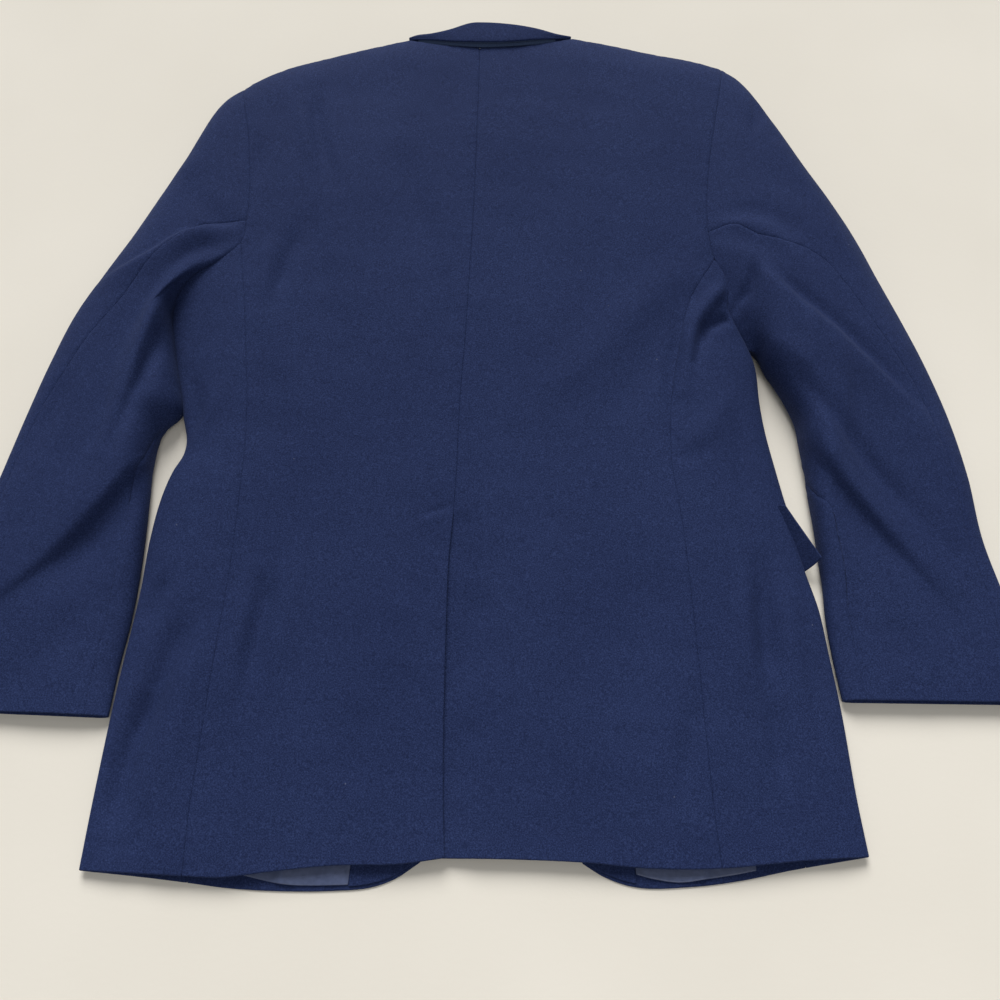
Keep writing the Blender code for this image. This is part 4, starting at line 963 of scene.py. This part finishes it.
def two_toned(name, roughness, grain, tones, surface, bump, weave=None, stretch=None, **settings):
    """A material of two tones in a noise's grain, with another noise, and lines if it is woven, for its surface."""
    made = Shader(name, roughness, **settings)
    place = made.turned(Scale=stretch) if stretch else None
    colour, height = made.ramp(made.noise(*grain, place), *tones), made.noise(*surface)
    if weave:
        angle, pitch, share = weave
        height = made.math("ADD", made.math("MULTIPLY", made.lines(angle, pitch), share), height)
    return made.finish(colour, height, *bump)


WOOL = wool_material()
SATIN = two_toned(  # slate satin, with the fine lines of its floats
    "slate_lining", 0.36, (240, 2, 0.5), ((0.3, (0.055, 0.074, 0.150)), (0.7, (0.078, 0.102, 0.197))),
    (900, 1, 0.5), (0.12, 0.0003), weave=(0, 0.0006, 0.4), Specular_IOR_Level=0.45, Sheen_Weight=0.05,
)
FELT_WITH_PAINTED_LIGHT = two_toned(  # felted wool, matt and fibrous; its tones are lighter than the wool's, which is painted light that makes the shaded strip under the fall look lit
    "navy_felt", 0.95, (900, 4, 0.7), ((0.3, (0.030, 0.048, 0.100)), (0.7, (0.058, 0.086, 0.165))),
    (1100, 4, 0.7), (0.5, 0.0005),
    Specular_IOR_Level=0.1, Sheen_Weight=0.25, Sheen_Roughness=0.5, Sheen_Tint=(0.5, 0.6, 0.9, 1),
)
HORN = two_toned(  # dark polished horn with cloudy streaks
    "dark_button", 0.32, (160, 4, 0.6), ((0.35, (0.008, 0.009, 0.014)), (0.70, (0.036, 0.034, 0.040))),
    (500, 2, 0.5), (0.06, 0.0003), stretch=(1, 5, 1), Specular_IOR_Level=0.5,
)
THREAD = two_toned(
    "navy_thread", 0.6, (1500, 2, 0.5), ((0.3, (0.016, 0.024, 0.062)), (0.7, (0.030, 0.044, 0.100))),
    (3000, 1, 0.5), (0.4, 0.0002), Specular_IOR_Level=0.3, Sheen_Weight=0.1,
)
PALE = two_toned(  # the floor's
    "pale_surface", 0.85, (4, 3, 0.5), ((0.3, (0.785, 0.745, 0.66)), (0.7, (0.825, 0.785, 0.70))),
    (220, 3, 0.6), (0.15, 0.0006), Specular_IOR_Level=0.2,
)


# ---------------------------------------------------------------- what lies on the fronts

# The grid of each of these pieces: the points along its seam or roll, about how far it reaches from there, and the
# step between the points on that way.
GRIDS = {"lapel": (72, 60, 3.0), "collar_leaf": (30, 45, STEP), "flap": (64, 52, 2.2), "inside": (40, 100, STEP)}
COLLAR_POINTS, PROFILE_POINTS = 84, 9  # the points across the collar, and those on its stand and on its fall


def lapel(half):
    """The turned-over part of a front, which lies between that front and the floor."""
    count, *way = GRIDS["lapel"]
    grid = on_layer(between(*from_roll(half, finer(LAPEL, count)), shares(*way)), half.bottom)
    grid[..., 2] -= LAYER_LIFT
    return turned(half, grid[2:-2])


def from_roll(half, rows):
    """Plan points on the roll line and at the outer edge of what turns over there, for each row of a table."""
    line = np.stack([half.front_edge(rows["roll_y"]), rows["roll_y"]], -1)
    return line, line + np.stack([half.sign * rows["reach"], -rows["drop"]], -1)


def collar_leaf(half):
    """The collar's fall over a front: the front's points near the neck, moved out of its cloth."""
    count, *way = GRIDS["collar_leaf"]
    line, edge = from_roll(half, finer(COLLAR_LEAF, count))
    line[-1], edge[-1] = [(x, half.shoulder_at["y"](x) - LEAF_INSET) for x in (line[-1, 0], edge[-1, 0])]
    grid = on_layer(between(line, edge, shares(*way)), half.bottom)
    grid = turned(half, grid[1:])
    return grid + normals_of(grid) * LAYER_LIFT


def flap(half):
    """The flap of a hip pocket, between its front and the floor. The right one's outer end stands up past the fold."""
    count, *way = GRIDS["flap"]
    rows = finer(FLAPS[half.name], count)
    top, low = (np.stack([rows[f"{end}_x"], rows[f"{end}_y"]], -1) for end in ("top", "low"))
    plan = between(top, low, shares(*way)).swapaxes(0, 1)[::-1, 1:-1]
    end, inner = top[-1], low[-1] - top[-1]
    inward = (inner[1] * (plan[..., 0] - end[0]) - inner[0] * (plan[..., 1] - end[1])) / np.hypot(*inner)
    rising = np.clip(1 - np.abs(inward) / FLAP_OUT, 0, 1) if half.sign > 0 else 0 * inward
    height = CLOTH / 2 + FLAP_RISE * rising
    return turned(half, np.concatenate([plan, height[..., None]], -1))


def inside_front(half, hem, top_x):
    """The grid of a piece on the inner side of a front, from its edge by the hem up to the height it is made to."""
    top = np.stack([top_x, np.full_like(top_x, INSIDE_TOP)], -1)
    grid = on_layer(between(hem, top, shares(*GRIDS["inside"][1:])).swapaxes(0, 1), half.bottom)
    grid[..., 2] += CLOTH / 2 + LAYER_GAP + LINING / 2
    return grid[:, :: half.sign]


def facing_and_lining(half):
    """The wool facing along the front edge and the satin lining beside it, as far in as the hem shows them."""
    count = GRIDS["inside"][0]
    rows = finer(INSIDES[half.name], count)
    line, lean, inset = INSIDES[half.name]["x"][0], half.sign * INSIDE_LEAN, half.sign * FACING_INSET
    hem_x = np.linspace(half.data["front_edge"]["x"][0] + inset, line, count)
    hem = np.stack([hem_x, half.front_hem(hem_x) + FACING_INSET], -1)
    facing = inside_front(half, hem, np.linspace(half.front_edge(INSIDE_TOP) + inset, line - lean, count))
    lining = inside_front(half, np.stack([rows["x"], rows["hem_y"]], -1), rows["x"] - lean)
    # The lining hangs a little slack: a pleat by its seam and soft waves up from the hem.
    far = np.abs(lining[..., 0] - line)
    (pleat, middle, width), (wave, length) = LINING_PLEAT, LINING_WAVES
    waves = wave * (1 + np.sin(far / length)) * ramp(far, 3, 14)
    lining[..., 2] += pleat * np.exp(-(((far - middle) / width) ** 2)) + waves
    return facing, lining


def arc_between(start, heading, end, arrival, count):
    """Points of a smooth curve from the start to just before the end, with the headings it leaves and arrives by."""
    t = np.linspace(0, 1, count, endpoint=False)[:, None]
    start, heading, end, arrival = (np.array(pair, float) for pair in (start, heading, end, arrival))
    ends = start * (1 + 2 * t) * (1 - t) ** 2 + end * t**2 * (3 - 2 * t)
    return ends + heading * t * (1 - t) ** 2 - arrival * t**2 * (1 - t)


def u_profile(neck, roll, leaf, count):
    """Points in y and z from the neck seam along the stand, round the roll and back along the fall to its edge."""
    radius = min(COLLAR_BEND, (leaf[1] - neck[1] + LAYER_GAP) / 2)
    turn = np.linspace(-math.pi / 2, math.pi / 2, 2 * count)
    bend = (roll - radius, leaf[1] - radius / 2) + radius * np.stack([np.cos(turn), np.sin(turn)], -1)
    length = max(bend[0][0] - neck[0], 0.5)
    stand = arc_between(neck, (0.9 * length, 0.55 * length), bend[0], (length, 0), count)
    fall = arc_between(leaf, (0.9 * length, 0.18 * length), bend[-1], (length, 0), count)[::-1]
    return np.concatenate([stand, bend, fall])


def collar_grid():
    """The back of the collar, from the neck seam over the roll to the edge of the fall."""
    rows = finer(COLLAR, COLLAR_POINTS)
    grid = []
    for x, neck_y, neck_z, roll_y, leaf_y, leaf_z in zip(*rows.values()):
        profile = u_profile((neck_y + LAYER_GAP, neck_z), roll_y, (leaf_y, leaf_z), PROFILE_POINTS)
        grid.append(np.concatenate([np.full((len(profile), 1), x), profile], 1))
    return np.array(grid).swapaxes(0, 1)[::-1]


# ---------------------------------------------------------------- buttons

# A thread's path: the share of the way from hole to hole, and the height.
THREAD_PATH = ((0, 3.9), (0, 1.5), (0, 1.1), (0.5, 0.75), (1, 1.1), (1, 1.5), (1, 3.9))


def button(number, y):
    """A turned disc with a raised rim, a dished face to the floor and four holes, with its thread."""
    radius, thick = BUTTON_DIAMETER / 2, BUTTON_THICK
    shape = bmesh.new()
    profile = [
        (0, thick), (radius - 2.6, thick), (radius - 1.2, thick - 0.35), (radius - 0.3, thick - 1.1), (radius, 1.6),
        (radius - 0.1, 0.9), (radius - 0.5, 0.3), (radius - 1.0, 0), (radius - 1.5, 0.1), (radius - 2.0, 0.7),
        (radius - 2.8, 1.25), (radius - 4.5, 1.4), (0, 1.4),
    ]
    verts = [shape.verts.new((r * MM, 0, z * MM)) for r, z in profile]
    edges = [shape.edges.new(pair) for pair in zip(verts, verts[1:])]
    bmesh.ops.spin(shape, geom=verts + edges, axis=(0, 0, 1), cent=(0, 0, 0), angle=math.tau, steps=64)
    bmesh.ops.remove_doubles(shape, verts=shape.verts, dist=0.000005)
    bmesh.ops.recalc_face_normals(shape, faces=shape.faces)
    middle = np.array([BUTTON_X - ORIGIN[0], y - ORIGIN[1], 0])
    bmesh.ops.translate(shape, verts=shape.verts, vec=middle * MM)
    mesh = bpy.data.meshes.new(f"button_{number}_turned")
    shape.to_mesh(mesh)
    shape.free()
    disc = linked(mesh.name, mesh)
    angles = math.tau * (np.arange(BUTTON_HOLES) + 0.5) / BUTTON_HOLES
    holes = middle + BUTTON_HOLE_RING * np.stack([np.cos(angles), np.sin(angles), 0 * angles], -1)
    for hole in holes:
        bpy.ops.mesh.primitive_cylinder_add(
            vertices=20, radius=BUTTON_HOLE / 2 * MM, depth=4 * thick * MM, location=hole * MM
        )
        cutter = bpy.context.object
        cut = disc.modifiers.new("hole", "BOOLEAN")
        cut.object, cut.operation = cutter, "DIFFERENCE"
        bpy.context.view_layer.update()
        cut_mesh = bpy.data.meshes.new_from_object(disc.evaluated_get(bpy.context.evaluated_depsgraph_get()))
        disc.modifiers.clear()
        disc.data = cut_mesh
        bpy.data.objects.remove(cutter)
    disc.data.materials.clear()
    disc.data.materials.append(HORN)
    disc.data.shade_smooth()
    disc.data.set_sharp_from_angle(angle=math.radians(40))
    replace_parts(riding(disc), f"button_{number}")
    thread(number, holes)


def thread(number, holes):
    """Two bars of sewing thread over the dish, from hole to hole, and through the button into the cloth."""
    curve = bpy.data.curves.new(f"button_{number}_thread", "CURVE")
    curve.dimensions, curve.bevel_depth, curve.bevel_resolution = "3D", 0.00028, 3
    for start, end in ((holes[0], holes[1]), (holes[2], holes[3])):
        for side in (-0.3, 0, 0.3):
            line = curve.splines.new("POLY")
            line.points.add(len(THREAD_PATH) - 1)
            for point, (share, height) in zip(line.points, THREAD_PATH):
                point.co = (*((start + (end - start) * share + (0, side, height)) * MM), 1)
    curve.materials.append(THREAD)
    riding(linked(curve.name, curve))


# ---------------------------------------------------------------- the garment

# Each piece's own cut in metres: the width and length of the cloth it comes from, and its share of that rectangle.
CUTS = {
    "back_left": (0.250, 0.785, 0.76), "back_right": (0.285, 0.790, 0.73),
    "side_left": (0.165, 0.535, 0.82), "side_right": (0.165, 0.520, 0.77),
    "front_left": (0.230, 0.820, 0.78), "front_right": (0.215, 0.825, 0.78),
    "top_sleeve_left": (0.260, 0.640, 0.60), "top_sleeve_right": (0.280, 0.660, 0.63),
    "under_sleeve_left": (0.150, 0.520, 0.61), "under_sleeve_right": (0.170, 0.520, 0.60),
    "lapel_left": (0.080, 0.275, 0.68), "lapel_right": (0.080, 0.275, 0.68),
    "collar": (0.170, 0.050, 0.66), "under_collar": (0.140, 0.046, 0.72),
    "collar_leaf_left": (0.052, 0.145, 0.70), "collar_leaf_right": (0.052, 0.146, 0.65),
    "flap_left": (0.139, 0.052, 0.97), "flap_right": (0.171, 0.062, 0.85),
    "facing_left": (0.059, 0.113, 0.84), "facing_right": (0.053, 0.111, 0.77),
    "lining_left": (0.112, 0.112, 0.95), "lining_right": (0.088, 0.110, 0.95),
}
# What the pieces that turn over or lie on another one are held by. The others are laid on the floor.
FOLDED = {"collar": ["under_collar"], "under_collar": ["collar"]}
LINED = {"facing": "front", "lining": "front"}


def cloth(node, grid, thickness=CLOTH, finish=WOOL, cells=None):
    """The shell that stands for a cloth node."""
    piece = wall(f"{node}_cloth", grid, thickness, finish, cells)
    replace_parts(piece, node)
    width, length, share = CUTS[node]
    kind, _, side = node.partition("_")
    rests = FOLDED.get(node) or [f"{LINED[kind]}_{side}" if kind in LINED else "floor"]
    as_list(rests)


def build():
    """Every piece of the blazer."""
    for half in (Half("left", LEFT), Half("right", RIGHT)):
        name = half.name
        grid, cells = back_panel(half)
        outer, inner = ("right", "left") if half.sign > 0 else ("left", "right")
        back_seams = [outer, "top"] if half.sign > 0 else [outer, "top", inner]
        cloth(f"back_{name}", seamed(grid, back_seams, seed=3), cells=cells)
        cloth(f"side_{name}", seamed(side_panel(half), ["left", "right"], seed=4))
        cloth(f"front_{name}", seamed(front_panel(half), [inner, "top"], seed=6))
        for panel, grid in sleeve_panels(half).items():
            cloth(f"{panel}_{name}", seamed(grid, ["left", "right", "top"], seed=5))
        for kind, shape in (("lapel", lapel), ("collar_leaf", collar_leaf), ("flap", flap)):
            cloth(f"{kind}_{name}", edged(shape(half), CLOTH))
        facing, lining = facing_and_lining(half)
        cloth(f"facing_{name}", edged(facing, LINING), LINING)
        cloth(f"lining_{name}", edged(lining, LINING), LINING, SATIN)
    collar = collar_grid()
    cloth("collar", collar)
    felt = (collar - normals_of(collar) * (CLOTH / 2 + SEAM_GAP + FELT / 2))[:, FELT_INSET:-FELT_INSET]
    # The felt's lighter tones are painted light: the strip of it under the fall's edge lies in shade.
    cloth("under_collar", felt, FELT, FELT_WITH_PAINTED_LIGHT)
    for number, y in enumerate(BUTTON_YS, 1):
        button(number, y)


def studio():
    """A plain pale floor, one big soft light from beyond the collar and a soft surround."""
    scene = bpy.context.scene
    scene.view_settings.view_transform = "Standard"
    mesh = bpy.data.meshes.new("floor")
    mesh.from_pydata([(-9, -9, 0), (9, -9, 0), (9, 9, 0), (-9, 9, 0)], [], [(0, 1, 2, 3)])
    mesh.materials.append(PALE)
    linked("floor", mesh)
    world = scene.world = bpy.data.worlds.new("surround")
    world.use_nodes = True
    surround = world.node_tree.nodes["Background"].inputs
    surround["Color"].default_value, surround["Strength"].default_value = (0.95, 0.97, 1.0, 1), 0.25
    window = bpy.data.lights.new("window", "SUN")
    window.energy, window.angle, window.color = 3.0, math.radians(36), (1.0, 0.99, 0.98)
    fill = bpy.data.lights.new("fill", "AREA")
    fill.shape, fill.size, fill.energy, fill.color = "DISK", 2.4, 26, (1.0, 0.98, 0.95)
    for light, place in ((window, (-0.5, 3.7, 3.0)), (fill, (0.6, -2.0, 3.2))):
        made = linked(light.name, light)
        made.location = place
        made.rotation_euler = (-mathutils.Vector(place)).to_track_quat("-Z", "Y").to_euler()
    camera = bpy.data.cameras.new("photo_angle")
    camera.lens, camera.sensor_width = 36, 36
    scene.camera = linked("photo_angle", camera)
    scene.camera.location, scene.camera.rotation_euler = (0.0185, -0.4410, 0.770), (math.radians(24), 0, 0)


build()
studio()
